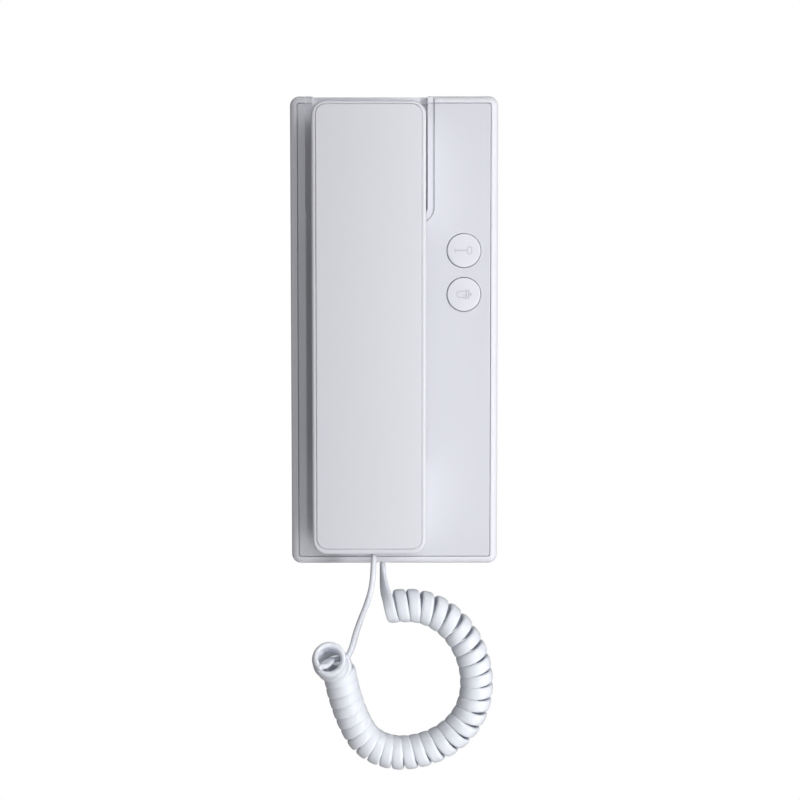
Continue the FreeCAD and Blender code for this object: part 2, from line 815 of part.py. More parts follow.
def slot_outline(sketch, half_straight, radius):
    """A slot along the sketch's first direction, with round ends."""
    half, r = 1.75, 2.25
    bottom = sketch.addGeometry(Part.LineSegment(Vector(-half, -r, 0), Vector(half, -r, 0)), False)
    top = sketch.addGeometry(Part.LineSegment(Vector(half, r, 0), Vector(-half, r, 0)), False)
    ends = []
    for centre, start in ((half, -math.pi / 2), (-half, math.pi / 2)):
        circle = Part.Circle(Vector(centre, 0, 0), Vector(0, 0, 1), r)
        ends.append(sketch.addGeometry(Part.ArcOfCircle(circle, start, start + math.pi), False))
    for first, second in ((bottom, ends[0]), (ends[0], top), (top, ends[1]), (ends[1], bottom)):
        sketch.addConstraint(Sketcher.Constraint("Tangent", first, 2, second, 1))
    sketch.addConstraint(Sketcher.Constraint("Horizontal", bottom))
    pin(sketch, ends[0], 3, half_straight, "0")
    pin(sketch, ends[1], 3, "-" + half_straight, "0")
    index = sketch.addConstraint(Sketcher.Constraint("Radius", ends[0], r))
    bound(sketch, f"Constraints[{index}]", radius)


def make_rear_housing():
    body = new_body("rear_housing")
    outline = front_sketch(body)
    rounded_rectangle(outline, "base_width", "base_height", "base_corner")
    pad(body, outline, "base_depth")
    crest = number("base_depth")
    soften(body, "rim_round", lambda edge: at_depth(edge, crest))
    opening = front_sketch(body, depth="base_depth")
    rounded_rectangle(opening, "opening_width", "opening_height", "panel_corner")
    pocket(body, opening, "base_depth - back_front")
    recess = front_sketch(body)
    rounded_rectangle(recess, "recess_width", "recess_height", "recess_corner")
    pocket(body, recess, "plate_recess", backwards=True)
    step = "-atan(pocket_step / pocket_drop)"
    for backwards, length, taper in ((False, "pocket_drop", step), (True, "overcut", None)):
        border = front_sketch(body, "handset_x", "pocket_z", "panel_front")
        rounded_rectangle(border, "pocket_width", "pocket_height", "pocket_corner")
        pocket(body, border, length, backwards=backwards, taper=taper)
    notch = front_sketch(body, "handset_x", "notch_z", "panel_front")
    rounded_rectangle(notch, "well_width", "notch_height", "well_corner")
    pocket(body, notch, "notch_drop")
    cable = front_sketch(body, "cable_x", "cable_z", "back_front")
    rounded_rectangle(cable, "cable_width", "cable_height", "cable_corner")
    pocket(body, cable, "back_wall")
    exit_slot = level_sketch(body, "base_cord_x", "(exit_from + exit_to) / 2", "-base_height / 2")
    rounded_rectangle(exit_slot, "exit_width", "exit_length", "exit_corner")
    pocket(body, exit_slot, "rim_wall + overcut", backwards=True)
    for x in ("tab_x", "-tab_x"):
        for z in ("tab_z", "-tab_z"):
            slot = front_sketch(body, x, f"{z} + tab_thick / 2 - tab_lip / 2 - tab_clearance", "back_front")
            rounded_rectangle(slot, "tab_slot_width", "tab_slot_height", "tab_clearance")
            pocket(body, slot, "back_wall")
    heads = front_sketch(body, depth="back_front")
    spots = [("0", "wall_hole_spacing / 2"), ("0", "-wall_hole_spacing / 2")]
    spots += [("box_slot_spacing / 2", "0"), ("-box_slot_spacing / 2", "0")]
    circles(heads, spots, "head_room_radius")
    pocket(body, heads, "back_wall")
    posts = front_sketch(body, depth="back_front")
    circles(posts, board_post_places(), "board_post")
    pad(body, posts, "board_stand")
    pilots = front_sketch(body, depth="board_rear")
    circles(pilots, board_post_places(), "screw_hole")
    pocket(body, pilots, "board_stand")
    ring = front_sketch(body, "ringer_x", "ringer_z", "back_front")
    circles(ring, [("0", "0")], "ringer_radius + ringer_gap + ringer_rib")
    circles(ring, [("0", "0")], "ringer_radius + ringer_gap")
    pad(body, ring, "ringer_rib_height")
    screws = front_sketch(body, depth="back_front")
    circles(screws, panel_boss_places(), "screw_hole + boss_gap")
    pocket(body, screws, "back_wall")
    sinks = front_sketch(body, depth="plate_recess")
    circles(sinks, panel_boss_places(), "panel_screw_head + boss_gap")
    pocket(body, sinks, "panel_screw_head_thick", backwards=True)


def board_post_places():
    sides = ("board_post_x", "-board_post_x")
    return [(x, z) for x in sides for z in ("board_post_high", "board_post_low")]


def panel_boss_places():
    return [
        ("boss_top_x", "boss_top_z"),
        ("-boss_top_x", "boss_top_z"),
        ("boss_low_x", "boss_low_z"),
        ("-boss_low_x", "boss_low_z"),
    ]


def make_front_panel():
    body = new_body("front_panel")
    plate = front_sketch(body, depth="panel_rear")
    rounded_rectangle(plate, "panel_width", "panel_height", "panel_corner")
    pad(body, plate, "panel_thick")
    front = number("panel_front")
    soften(body, "panel_edge", lambda edge: at_depth(edge, front))
    thick_well = front_sketch(body, "handset_x", "block_z", "well_rear")
    rounded_rectangle(thick_well, "block_width", "block_height", "panel_corner")
    pad(body, thick_well, "panel_rear - well_rear + panel_thick / 2")
    for x, z, start in (
        ("boss_top_x", "boss_top_z", "panel_rear"),
        ("-boss_top_x", "boss_top_z", "well_rear"),
        ("boss_low_x", "boss_low_z", "panel_rear"),
        ("-boss_low_x", "boss_low_z", "panel_rear"),
    ):
        boss = front_sketch(body, depth="back_front")
        circles(boss, [(x, z)], "boss_radius")
        pad(body, boss, f"{start} - back_front + boss_root")
    border = front_sketch(body, "handset_x", "pocket_z", "panel_front")
    rounded_rectangle(border, "pocket_width", "pocket_height", "pocket_corner")
    pocket(body, border, "pocket_drop", taper="-atan(pocket_step / pocket_drop)")
    notch = front_sketch(body, "handset_x", "notch_z", "panel_front")
    rounded_rectangle(notch, "well_width", "notch_height", "well_corner")
    pocket(body, notch, "notch_drop")
    well = front_sketch(body, "handset_x", "well_z", "notch_floor")
    rounded_rectangle(well, "well_width", "well_height", "well_corner")
    pocket(body, well, "well_depth")
    guides = front_sketch(body, depth="panel_rear")
    circles(guides, button_places(), "button_guide")
    pad(body, guides, "button_guide_length", backwards=True)
    bores = front_sketch(body, depth="panel_rear")
    circles(bores, button_places(), "guide_bore")
    pocket(body, bores, "button_guide_length")
    holes = front_sketch(body, depth="panel_front")
    circles(holes, button_places(), "button_hole")
    pocket(body, holes, "panel_thick")
    pin_hole = front_sketch(body, depth="panel_front")
    circles(pin_hole, [("handset_x", "hook_z")], "plunger_hole")
    pocket(body, pin_hole, "panel_thick")
    pilots = front_sketch(body, depth="back_front")
    circles(pilots, panel_boss_places(), "screw_shank")
    pocket(body, pilots, "panel_screw_length - back_wall + pilot_spare", backwards=True)
    lug = side_sketch(body, "handset_x")
    root, tip = "-(well_floor - well_floor_thick / 2)", "-(well_floor + lug_reach)"
    sunk = "well_floor_thick / 2 * tan(lift_angle)"
    corners = [(root, f"lug_low - {sunk}"), (tip, "lug_low + lug_rise")]
    corners += [(tip, "lug_low + lug_rise + lug_height"), (root, f"lug_low + lug_height - {sunk}")]
    polygon(lug, corners)
    pad(body, lug, "lug_width", both_ways=True)


def button_places():
    return [("button_x", "door_button_z"), ("button_x", "call_button_z")]


def make_circuit_board():
    body = new_body("circuit_board")
    outline = front_sketch(body, "0", "board_z", "board_rear")
    rounded_rectangle(outline, "board_width", "board_height", "board_corner")
    pad(body, outline, "board_thick")
    window = front_sketch(body, "cable_x", "cable_z", "board_front")
    rounded_rectangle(window, "window_width", "window_height", "cable_corner")
    pocket(body, window, "board_thick")
    holes = front_sketch(body, depth="board_front")
    circles(holes, board_post_places(), "board_hole")
    pocket(body, holes, "board_thick")


def make_board_parts():
    block_body = block(
        "terminal_x", "board_front", "terminal_z", "terminal_width", "terminal_thick", "terminal_height"
    )
    foot = "board_front + terminal_thick - terminal_screw_length"
    head = "board_front + terminal_thick - terminal_screw_sunk"
    bore = "terminal_screw + terminal_screw_play"
    side, entry_foot = "terminal_x - terminal_width / 2", "board_front + terminal_entry_up"
    entry_size = ("2 * terminal_entry_depth", "terminal_entry", "terminal_entry")
    groove_size = ("2 * terminal_screw + overcut", "slot_depth + overcut", "terminal_slot")
    bores, entries, screws = [], [], []
    for way in FOUR_WAYS:
        z = f"terminal_z + {way} * terminal_pitch"
        bores.append(rod("terminal_x", foot, z, bore, "terminal_screw_length + overcut"))
        entries.append(block(side, entry_foot, z, *entry_size))
        shank = rod("terminal_x", foot, z, "terminal_screw", "terminal_screw_length - terminal_screw_sunk")
        screws.append(taken(shank, block("terminal_x", f"{head} - slot_depth", z, *groove_size)))
    piece("terminal_block", taken(block_body, *bores, *entries, label="terminal_block"))
    piece("terminal_screws", *screws)
    cans = []
    for x, z in CAN_PLACES:
        can = rod(x, "board_front", z, "can_radius", "can_height")
        outside = rod(x, "board_front + can_groove_up", z, "can_radius + overcut", "can_groove_height")
        groove = taken(outside, rod(x, "board_front", z, "can_radius - can_groove", "can_height"))
        cans.append(taken(can, groove))
    piece("board_capacitors", *cans)
    chips = [block(x, "board_front", z, "chip_side", "chip_thick", "chip_side") for x, z in CHIP_PLACES]
    piece("board_chips", *chips)
    body = block("handset_x", "board_front", "hook_z", "switch_side", "switch_height", "switch_side")
    button = rod("handset_x", "board_front + switch_height", "hook_z", "switch_button", "switch_button_rise")
    piece("hook_switch", fused(body, button, label="hook_switch"))


def make_ringer():
    shoulder, face = "back_front + ringer_thick", "back_front + ringer_thick + ringer_bevel"
    outline = [("0", "back_front"), ("ringer_radius", "back_front"), ("ringer_radius", shoulder)]
    outline += [("ringer_radius - ringer_bevel", face), ("ringer_port", face)]
    outline += [("ringer_port", f"{face} - ringer_port_depth"), ("0", f"{face} - ringer_port_depth")]
    turned("ringer", "ringer_x", "ringer_z", outline)


def make_hook():
    tip, under = "plunger_tip", "plunger_under"
    outline = [("0", tip), ("plunger_radius - plunger_tip_round", tip)]
    outline += [("plunger_radius", f"{tip} - plunger_tip_round"), ("plunger_radius", "plunger_shoulder")]
    outline += [("plunger_flange", "plunger_shoulder"), ("plunger_flange", under), ("plunger_nub", under)]
    outline += [("plunger_nub", "switch_top + switch_gap"), ("0", "switch_top + switch_gap")]
    turned("hook_plunger", "handset_x", "hook_z", outline)
    room = "plunger_under - board_front"
    outer = rod("handset_x", "board_front", "hook_z", "spring_outer", f"{room} - spring_gap")
    inner = rod("handset_x", "board_front - overcut", "hook_z", "spring_inner", f"{room} + 2 * overcut")
    piece("hook_spring", taken(outer, inner, label="hook_spring"))


def make_buttons():
    for label, z in (("door_button", "door_button_z"), ("call_button", "call_button_z")):
        outline = [("0", "button_top"), ("button_radius", "button_top")]
        outline += [("button_radius", "flange_front"), ("button_flange", "flange_front")]
        outline += [("button_flange", "flange_rear"), ("button_stem", "flange_rear")]
        outline += [("button_stem", "dome_top + dome_gap"), ("0", "dome_top + dome_gap")]
        body = turned(label, "button_x", z, outline)
        revolve(body, crown_section(body, z))
        rim = number("button_top")
        soften(body, "button_edge", lambda edge: at_depth(edge, rim))
        symbol = front_sketch(body, "button_x", z, "button_face")
        if label == "door_button":
            polygon(symbol, KEY_SHANK)
            pocket(body, symbol, "symbol_depth")
            symbol = front_sketch(body, "button_x + key_bow_aside", z, "button_face")
            rounded_rectangle(symbol, "key_bow_width", "key_bow_height", "key_bow_corner")
            rounded_rectangle(symbol, "key_eye_width", "key_eye_height", "key_eye_corner")
        else:
            polygon(symbol, BELL_OUTSIDE)
            polygon(symbol, BELL_INSIDE)
            polygon(symbol, BELL_LIP)
            circles(symbol, [("3.1", "0")], "symbol_line")
        pocket(body, symbol, "symbol_depth")
        crown, foot, under = "dome_top", "board_front", "dome_top - 2 * dome_skin"
        ring = [("dome_radius", foot), ("dome_radius", f"{foot} + dome_skin")]
        ring += [("button_stem + dome_crown_margin", f"{crown} - dome_slant")]
        ring += [("button_stem", crown), ("0", crown), ("0", under)]
        ring += [("button_stem - dome_crown_margin", under), ("dome_radius - dome_skin - dome_slant", foot)]
        turned(label + "_dome", "button_x", z, ring)


def crown_section(body, z):
    """Half the section of a button's bowed face, from its flat rim up to the middle."""
    section = level_sketch(body, x="button_x", z=z)
    radius, rim = number("button_radius"), number("button_top")
    face, bow = number("button_face"), number("button_bow")
    edge, top = (radius, -rim), (0.0, -face)
    section.addGeometry(Part.LineSegment(Vector(0, -rim, 0), Vector(*edge, 0)), False)
    circle = Part.Circle(Vector(0, bow - face, 0), Vector(0, 0, 1), bow)
    lowest = 1.5 * math.pi
    section.addGeometry(Part.ArcOfCircle(circle, lowest, lowest + math.asin(radius / bow)), False)
    section.addGeometry(Part.LineSegment(Vector(*top, 0), Vector(0, -rim, 0)), False)
    for first, end, second, start in ((0, 2, 1, 2), (1, 1, 2, 1), (2, 2, 0, 1)):
        section.addConstraint(Sketcher.Constraint("Coincident", first, end, second, start))
    pin(section, 0, 1, "0", "-button_top", (0.0, -rim))
    pin(section, 0, 2, "button_radius", "-button_top", edge)
    pin(section, 1, 1, "0", "-button_face", top)
    index = section.addConstraint(Sketcher.Constraint("Radius", 1, bow))
    bound(section, f"Constraints[{index}]", "button_bow")
    return section


def handset_cavity():
    """The room inside the handset's shell, open to the front, with its floor following the outside."""
    body = doc.addObject("PartDesign::Body", "handset_cavity")
    room = side_sketch(body, "handset_x")
    mouth = "-(handset_front + 2 * overcut)"
    corners = [(mouth, "cavity_high"), ("-ear_floor", "cavity_high")]
    corners += [("-ear_floor", "ear_slope_high + ear_shift"), ("-grip_floor", "ear_slope_low + ear_shift")]
    corners += [("-grip_floor", "mouth_slope_high - mouth_shift")]
    corners += [("-mouth_floor", "mouth_slope_low - mouth_shift")]
    corners += [("-mouth_floor", "cavity_low"), (mouth, "cavity_low")]
    polygon(room, corners)
    pad(body, room, "cavity_width", both_ways=True)
    ends = (number("cavity_high"), number("cavity_low"))
    soften(
        body,
        "cavity_corner",
        lambda edge: along(edge, "Y") and any(abs(middle(edge).z - level) < NEAR for level in ends),
    )
    return body


def make_handset_shell():
    body = new_body("handset_shell")
    outline = front_sketch(body, "handset_x", "handset_z", "ear_rear")
    rounded_rectangle(outline, "handset_width", "handset_length", "handset_corner")
    pad(body, outline, "handset_front - ear_rear")
    behind = side_sketch(body, "handset_x")
    clear, low = "-(ear_rear - overcut)", "handset_low - overcut"
    corners = [(clear, "ear_slope_high + overcut * ear_slope_run"), ("-grip_rear", "ear_slope_low")]
    corners += [("-grip_rear", "mouth_slope_high"), ("-mouth_rear", "mouth_slope_low")]
    corners += [("-mouth_rear", low), (clear, low)]
    polygon(behind, corners)
    pocket(body, behind, "handset_width + 2 * overcut", both_ways=True)
    bends = ("ear_slope_high", "ear_slope_low", "mouth_slope_high", "mouth_slope_low")
    levels = [number(name) for name in bends]

    def is_bend(edge):
        return along(edge, "X") and any(abs(middle(edge).z - level) < NEAR for level in levels)

    soften(body, "handset_bend", is_bend)
    rear, top = number("ear_rear"), number("handset_high")

    def is_rear_rim(edge):
        return at_depth(edge, rear) and abs(middle(edge).z - top) < NEAR

    soften(body, "handset_rear_edge", is_rear_rim)
    front = number("handset_front")
    soften(body, "handset_edge", lambda edge: at_depth(edge, front))
    subtract(body, handset_cavity())
    for z, floor in (("post_ear_z", "ear_floor"), ("post_mouth_z", "mouth_floor")):
        posts = front_sketch(body, "handset_x", z, f"{floor} - rear_wall / 2")
        circles(posts, [("post_side_x", "0"), ("-post_side_x", "0")], "post_radius")
        pad(body, posts, f"post_face - {floor} + rear_wall / 2")
    shelf_z = "handset_jack_low + jack_length / 2"
    shelf = front_sketch(body, "handset_cord_x", shelf_z, "mouth_floor - rear_wall / 2")
    rounded_rectangle(shelf, "jack_width", "jack_length", "panel_edge")
    pad(body, shelf, "handset_jack_rear - mouth_floor + rear_wall / 2")
    for z in ("post_ear_z", "post_mouth_z"):
        recess = front_sketch(body, "handset_x", z, "post_seat")
        circles(recess, [("post_side_x", "0"), ("-post_side_x", "0")], "post_recess")
        pocket(body, recess, "post_seat - ear_rear + overcut")
        shafts = front_sketch(body, "handset_x", z, "post_face")
        circles(shafts, [("post_side_x", "0"), ("-post_side_x", "0")], "screw_hole + boss_gap")
        pocket(body, shafts, "post_web + overcut")
    slot = side_sketch(body, "handset_x")
    start, end = "-(ear_rear - overcut)", "-(ear_floor + overcut / 2)"
    rise_start = "(ear_gap - overcut) * tan(lift_angle)"
    rise_end = "(ear_gap + rear_wall + overcut / 2) * tan(lift_angle)"
    low_line, high_line = "lug_low - lug_clearance", "lug_low + lug_height + lug_clearance"
    corners = [(start, f"{low_line} + {rise_start}"), (end, f"{low_line} + {rise_end}")]
    corners += [(end, f"{high_line} + {rise_end}"), (start, f"{high_line} + {rise_start}")]
    polygon(slot, corners)
    pocket(body, slot, "lug_width + 2 * lug_clearance", both_ways=True)
    sound = front_sketch(body, "handset_x", "earpiece_z", "ear_floor")
    ring = [(f"sound_ring * cos({60 * i})", f"sound_ring * sin({60 * i})") for i in range(6)]
    circles(sound, [("0", "0")] + ring, "sound_hole")
    pocket(body, sound, "rear_wall")
    speech = front_sketch(body, "microphone_x", "microphone_z", "mouth_floor")
    circles(speech, [("0", "0")], "sound_hole")
    pocket(body, speech, "rear_wall")
    exit_middle = "(handset_exit_from + handset_exit_to) / 2"
    exit_slot = level_sketch(body, "handset_cord_x", exit_middle, "handset_low")
    rounded_rectangle(exit_slot, "handset_exit_width", "handset_exit_length", "handset_exit_corner")
    pocket(body, exit_slot, "bottom_wall + handset_exit_spare", backwards=True)


def make_handset_cover():
    body = new_body("handset_cover")
    section = level_sketch(body, "handset_x", "0", "cover_z")
    half, side, inner = number("cover_width") / 2, number("cover_side"), number("cover_inner")
    bow, crown = number("cover_bow"), number("cover_crown")
    spread = math.asin(half / bow)
    corners = [(-half, -side), (-half, -inner), (half, -inner), (half, -side)]
    for start, end in zip(corners, corners[1:]):
        section.addGeometry(Part.LineSegment(Vector(*start, 0), Vector(*end, 0)), False)
    circle = Part.Circle(Vector(0, bow - side - crown, 0), Vector(0, 0, 1), bow)
    section.addGeometry(Part.ArcOfCircle(circle, 1.5 * math.pi - spread, 1.5 * math.pi + spread), False)
    for first, end, second, start in ((0, 2, 1, 1), (1, 2, 2, 1), (2, 2, 3, 2), (3, 1, 0, 1)):
        section.addConstraint(Sketcher.Constraint("Coincident", first, end, second, start))
    pin(section, 0, 1, "-cover_width / 2", "-cover_side", corners[0])
    pin(section, 0, 2, "-cover_width / 2", "-cover_inner", corners[1])
    pin(section, 1, 2, "cover_width / 2", "-cover_inner", corners[2])
    pin(section, 2, 2, "cover_width / 2", "-cover_side", corners[3])
    index = section.addConstraint(Sketcher.Constraint("Radius", 3, bow))
    bound(section, f"Constraints[{index}]", "cover_bow")
    pad(body, section, "cover_height", both_ways=True)
    soften(body, "cover_corner", lambda edge: along(edge, "Y"))
    edge_depth = number("cover_side")
    soften(body, "cover_edge", lambda edge: -edge.BoundBox.YMax > edge_depth - NEAR)
    for z in ("post_ear_z", "post_mouth_z"):
        bosses = front_sketch(body, "handset_x", z, "post_face")
        circles(bosses, [("post_side_x", "0"), ("-post_side_x", "0")], "cover_boss")
        pad(body, bosses, "cover_inner - post_face + cover_thick / 2")
        pilots = front_sketch(body, "handset_x", z, "post_face")
        circles(pilots, [("post_side_x", "0"), ("-post_side_x", "0")], "screw_shank")
        pocket(body, pilots, "handset_screw_length - post_web + pilot_spare", backwards=True)


def make_ear_and_mouth():
    seat, lid = "ear_floor", "ear_floor + gasket_thick"
    turned(
        "earpiece_gasket",
        "handset_x",
        "earpiece_z",
        [("gasket_inner", seat), ("earpiece_radius", seat), ("earpiece_radius", lid), ("gasket_inner", lid)],
    )
    back = f"{lid} + earpiece_thick"
    dish, lip, shoulder = f"{lid} + earpiece_dish", "gasket_inner - earpiece_lip", f"{back} - magnet_thick"
    capsule = [("0", dish), (lip, dish), (lip, lid), ("earpiece_radius", lid), ("earpiece_radius", shoulder)]
    capsule += [("earpiece_radius - magnet_in", shoulder), ("earpiece_radius - magnet_in", back), ("0", back)]
    turned("earpiece", "handset_x", "earpiece_z", capsule)
    base, rim = "mouth_floor", "mouth_floor + boot_height"
    outer, bore = "microphone_radius + boot_wall", "microphone_radius"
    boot = [("sound_hole", base), (outer, base), (outer, rim), (bore, rim)]
    boot += [(bore, f"{base} + boot_floor"), ("sound_hole", f"{base} + boot_floor")]
    turned("microphone_boot", "microphone_x", "microphone_z", boot)
    face = f"{base} + boot_floor"
    can = [("0", face), ("microphone_radius", face), ("microphone_radius", f"{face} + microphone_thick")]
    turned("microphone", "microphone_x", "microphone_z", can + [("0", f"{face} + microphone_thick")])


def make_handset_weight():
    bar = block("handset_x", "grip_floor", "weight_z", "weight_width", "weight_thick", "weight_height")
    piece("handset_weight", bar)


def make_plugs_and_jacks():
    for name, jack_rear in (("base", "board_front"), ("handset", "handset_jack_rear")):
        x, depth, low = f"{name}_cord_x", f"{name}_cord_depth", f"{name}_plug_low"
        jack_low, jack_front = f"{name}_jack_low", f"{name}_jack_front"
        rear = f"{depth} - plug_thick / 2"
        z = f"{low} + plug_length / 2"
        plug = block(x, rear, z, "plug_width", "plug_thick", "plug_length")
        room_rear = f"{rear} - plug_latch_thick"
        latch_size = ("plug_latch_width", "plug_latch_thick", "plug_latch_length")
        latch = block(x, room_rear, f"{low} + plug_latch_up", *latch_size)
        contact_foot = f"{depth} + plug_thick / 2 - contact_depth"
        contact_z = f"{low} + plug_length - contact_down"
        contact_size = ("contact_width", "contact_depth + overcut", "contact_length")
        contacts = [
            block(f"{x} + {way} * contact_pitch", contact_foot, contact_z, *contact_size) for way in FOUR_WAYS
        ]
        piece(name + "_plug", taken(fused(plug, latch), *contacts, label=name + "_plug"))
        jack_z = f"{jack_low} + jack_length / 2"
        case = block(x, jack_rear, jack_z, "jack_width", f"({jack_front}) - ({jack_rear})", "jack_length")
        room_width = "plug_width + 2 * plug_clearance"
        room_thick = "plug_thick + plug_latch_thick + plug_clearance"
        room = block(x, room_rear, z, room_width, room_thick, "plug_length + 2 * plug_clearance")
        mouth = block(x, room_rear, low, room_width, room_thick, "2 * jack_mouth")
        piece(name + "_jack", taken(case, room, mouth, label=name + "_jack"))


def screw(x, z, head_depth, head_radius, head_thick, length, flat_head=False):
    """A screw that points towards the room, with its head nearest to the wall."""
    if flat_head:
        head = rod(x, head_depth, z, head_radius, head_thick, "screw_shank + screw_neck")
    else:
        head = rod(x, head_depth, z, head_radius, head_thick)
    shank = rod(x, f"{head_depth} + {head_thick} - {NEAR}", z, "screw_shank", length)
    return taken(fused(head, shank), *cross(x, head_depth, z))


def cross(x, depth, z):
    """The two slots of a screw head, cut from a depth on towards the room."""
    bars = (("cross_width", "cross_slot"), ("cross_slot", "cross_width"))
    return [block(x, depth, z, width, "slot_depth", height) for width, height in bars]


def make_screws():
    screws = []
    for x, z in board_post_places():
        head = rod(x, "board_front", z, "board_screw_head", "board_screw_head_thick")
        length = f"board_front - back_front - screw_tip_gap + {NEAR}"
        shank = rod(x, "back_front + screw_tip_gap", z, "screw_shank", length)
        level = "board_front + board_screw_head_thick - slot_depth"
        screws.append(taken(fused(head, shank), *cross(x, level, z)))
    piece("board_screws", *screws)
    thick = "panel_screw_head_thick"
    screws = [
        screw(x, z, "plate_recess", "panel_screw_head", thick, f"panel_screw_length - {thick}", True)
        for x, z in panel_boss_places()
    ]
    piece("panel_screws", *screws)
    head_depth = "post_seat - handset_screw_head_thick"
    levels = ("post_ear_z", "post_mouth_z")
    places = [(f"handset_x + {side} * post_side_x", z) for side in ("1", "-1") for z in levels]
    screws = [
        screw(x, z, head_depth, "handset_screw_head", "handset_screw_head_thick", "handset_screw_length")
        for x, z in places
    ]
    piece("handset_screws", *screws)


def at_room(x, depth, z):
    return Vector(x, -depth, z)


def arc_between(start, corner, end):
    """The arc from start to end that leaves towards the corner and arrives from it, with its radius."""
    chord_middle = (start + end) / 2
    half, lift = (end - start).Length / 2, (corner - chord_middle).Length
    if lift < 1e-6:
        return Part.LineSegment(start, end).toShape(), math.inf
    angle = math.atan2(lift, half)
    top = chord_middle + (corner - chord_middle) * (half * math.tan(angle / 2) / lift)
    return Part.Arc(start, top, end).toShape(), half / math.sin(angle)


def biarc(start, start_way, end, end_way):
    """Two arcs that meet smoothly, from one point and direction to another."""
    gap, both = end - start, start_way + end_way
    spare = 2 * (1 - start_way.dot(end_way))
    lean = gap.dot(both)
    if spare < 1e-9:
        reach = gap.dot(gap) / (2 * lean)
    else:
        reach = (math.sqrt(lean * lean + spare * gap.dot(gap)) - lean) / spare
    first, second = start + start_way * reach, end - end_way * reach
    meeting = (first + second) / 2
    return [arc_between(start, first, meeting), arc_between(meeting, second, end)]


def coil_stations(steps=2400):
    """Points along the curly stretch's middle line: where they are, their directions and how far along."""
    poles = [at_room(*point) for point in COIL_ROUTE]
    spans = len(poles) - 2
    curve = Part.BSplineCurve()
    curve.buildFromPolesMultsKnots(poles, [3] + [1] * (spans - 1) + [3], list(range(spans + 1)), False, 2)
    stations, travelled, last = [], 0.0, None
    for i in range(steps + 1):
        parameter = spans * i / steps
        place, way = curve.value(parameter), curve.tangent(parameter)[0].normalize()
        travelled += (place - last).Length if last else 0.0
        last = place
        if stations:
            side = stations[-1]["side"]
        else:
            side = Vector(0, 1, 0)
        side = (side - way * side.dot(way)).normalize()
        bend = curve.curvature(parameter)
        stations.append({"place": place, "way": way, "side": side, "along": travelled, "bend": bend})
    return stations


def coil_turn_counts(stations, total):
    """How many turns lie before each station. Turns touch alike on the inside of a bend and fan out outside,
    and the last turn, the end ring, stands off from the one before it by a steep half turn."""
    radius, length = number("coil_radius"), stations[-1]["along"]
    ring, climb = number("ring_pitch"), number("climb_length")
    window = 40
    rates = []
    for i, station in enumerate(stations):
        near = stations[max(0, i - window) : i + window + 1]
        bend = sum(other["bend"] for other in near) / len(near)
        rates.append(1 - radius * bend if station["along"] < length - ring - climb else 0.0)
    steps = [b["along"] - a["along"] for a, b in zip(stations, stations[1:])]
    regular = sum((a + b) / 2 * step for a, b, step in zip(rates, rates[1:], steps))
    scale = (total - 1.5) / regular
    counts = [0.0]
    for i, step in enumerate(steps):
        left = length - stations[i]["along"]
        if left <= ring:
            rate = 1 / ring
        elif left <= ring + climb:
            rate = 0.5 / climb
        else:
            rate = scale * (rates[i] + rates[i + 1]) / 2
        counts.append(counts[-1] + rate * step)
    fit = total / counts[-1]
    return [count * fit for count in counts]


def coil_point(stations, counts, turns):
    """The cord's middle after so many turns."""
    low, high = 0, len(counts) - 1
    while high - low > 1:
        halfway = (low + high) // 2
        if counts[halfway] <= turns:
            low = halfway
        else:
            high = halfway
    a, b = stations[low], stations[high]
    share = (turns - counts[low]) / max(counts[high] - counts[low], 1e-12)
    place = a["place"] + (b["place"] - a["place"]) * share
    way = (a["way"] + (b["way"] - a["way"]) * share).normalize()
    side = a["side"] + (b["side"] - a["side"]) * share
    side = (side - way * side.dot(way)).normalize()
    angle = 2 * math.pi * turns
    radius = number("coil_radius")
    return place + side * (radius * math.cos(angle)) - way.cross(side) * (radius * math.sin(angle))


def coil_nodes():
    """Points and directions along the curly stretch, a quarter turn apart, then its end behind the ring."""
    stations = coil_stations()
    end = stations[-1]
    to_left = Vector(-1, 0, 0)
    to_left = (to_left - end["way"] * to_left.dot(end["way"])).normalize()
    other = end["way"].cross(end["side"])
    phase = -math.atan2(to_left.dot(other), to_left.dot(end["side"])) / (2 * math.pi) % 1
    total = COIL_TURNS - 1 + phase
    counts = coil_turn_counts(stations, total)
    quarters = round(total / QUARTER)
    tick = 1e-4
    nodes = []
    for i in range(quarters + 1):
        turns = total * i / quarters
        before, after = max(turns - tick, 0.0), min(turns + tick, total)
        way = coil_point(stations, counts, after) - coil_point(stations, counts, before)
        nodes.append((coil_point(stations, counts, turns), way.normalize()))
    right = to_left * -1
    up = end["way"].cross(right) * -1
    up = up if up.z > 0 else up * -1
    centre = end["place"]
    for (across, high, out), way in RING_END:
        place = centre + right * across + up * high + end["way"] * out
        direction = (right * way[0] + up * way[1] + end["way"] * way[2]).normalize()
        nodes.append((place, direction))
    return nodes, total


def swept(path_edges, start, way, radius):
    """A round solid along a path of lines and arcs."""
    wire = Part.Wire(path_edges)
    circle = Part.Wire(Part.Circle(start, way, radius).toShape())
    return wire.makePipeShell([circle], True, False)


def least_gap(points, spacing, diameter):
    """The smallest clear distance between stretches of the cord that aren't neighbours along it."""
    skip = int(3 * diameter / spacing)
    cell = 2 * diameter
    grid = {}
    for i, point in enumerate(points):
        key = (math.floor(point.x / cell), math.floor(point.y / cell), math.floor(point.z / cell))
        grid.setdefault(key, []).append(i)
    best = math.inf
    for key, members in grid.items():
        near = []
        for dx in (-1, 0, 1):
            for dy in (-1, 0, 1):
                for dz in (-1, 0, 1):
                    near += grid.get((key[0] + dx, key[1] + dy, key[2] + dz), [])
        for i in members:
            for j in near:
                if j - i > skip:
                    best = min(best, (points[i] - points[j]).Length)
    return best - diameter


def cord_piece(label, shape):
    node = doc.addObject("Part::Feature", label)
    node.Label = label
    node.Shape = shape
    PIECES.append(node)
    return node


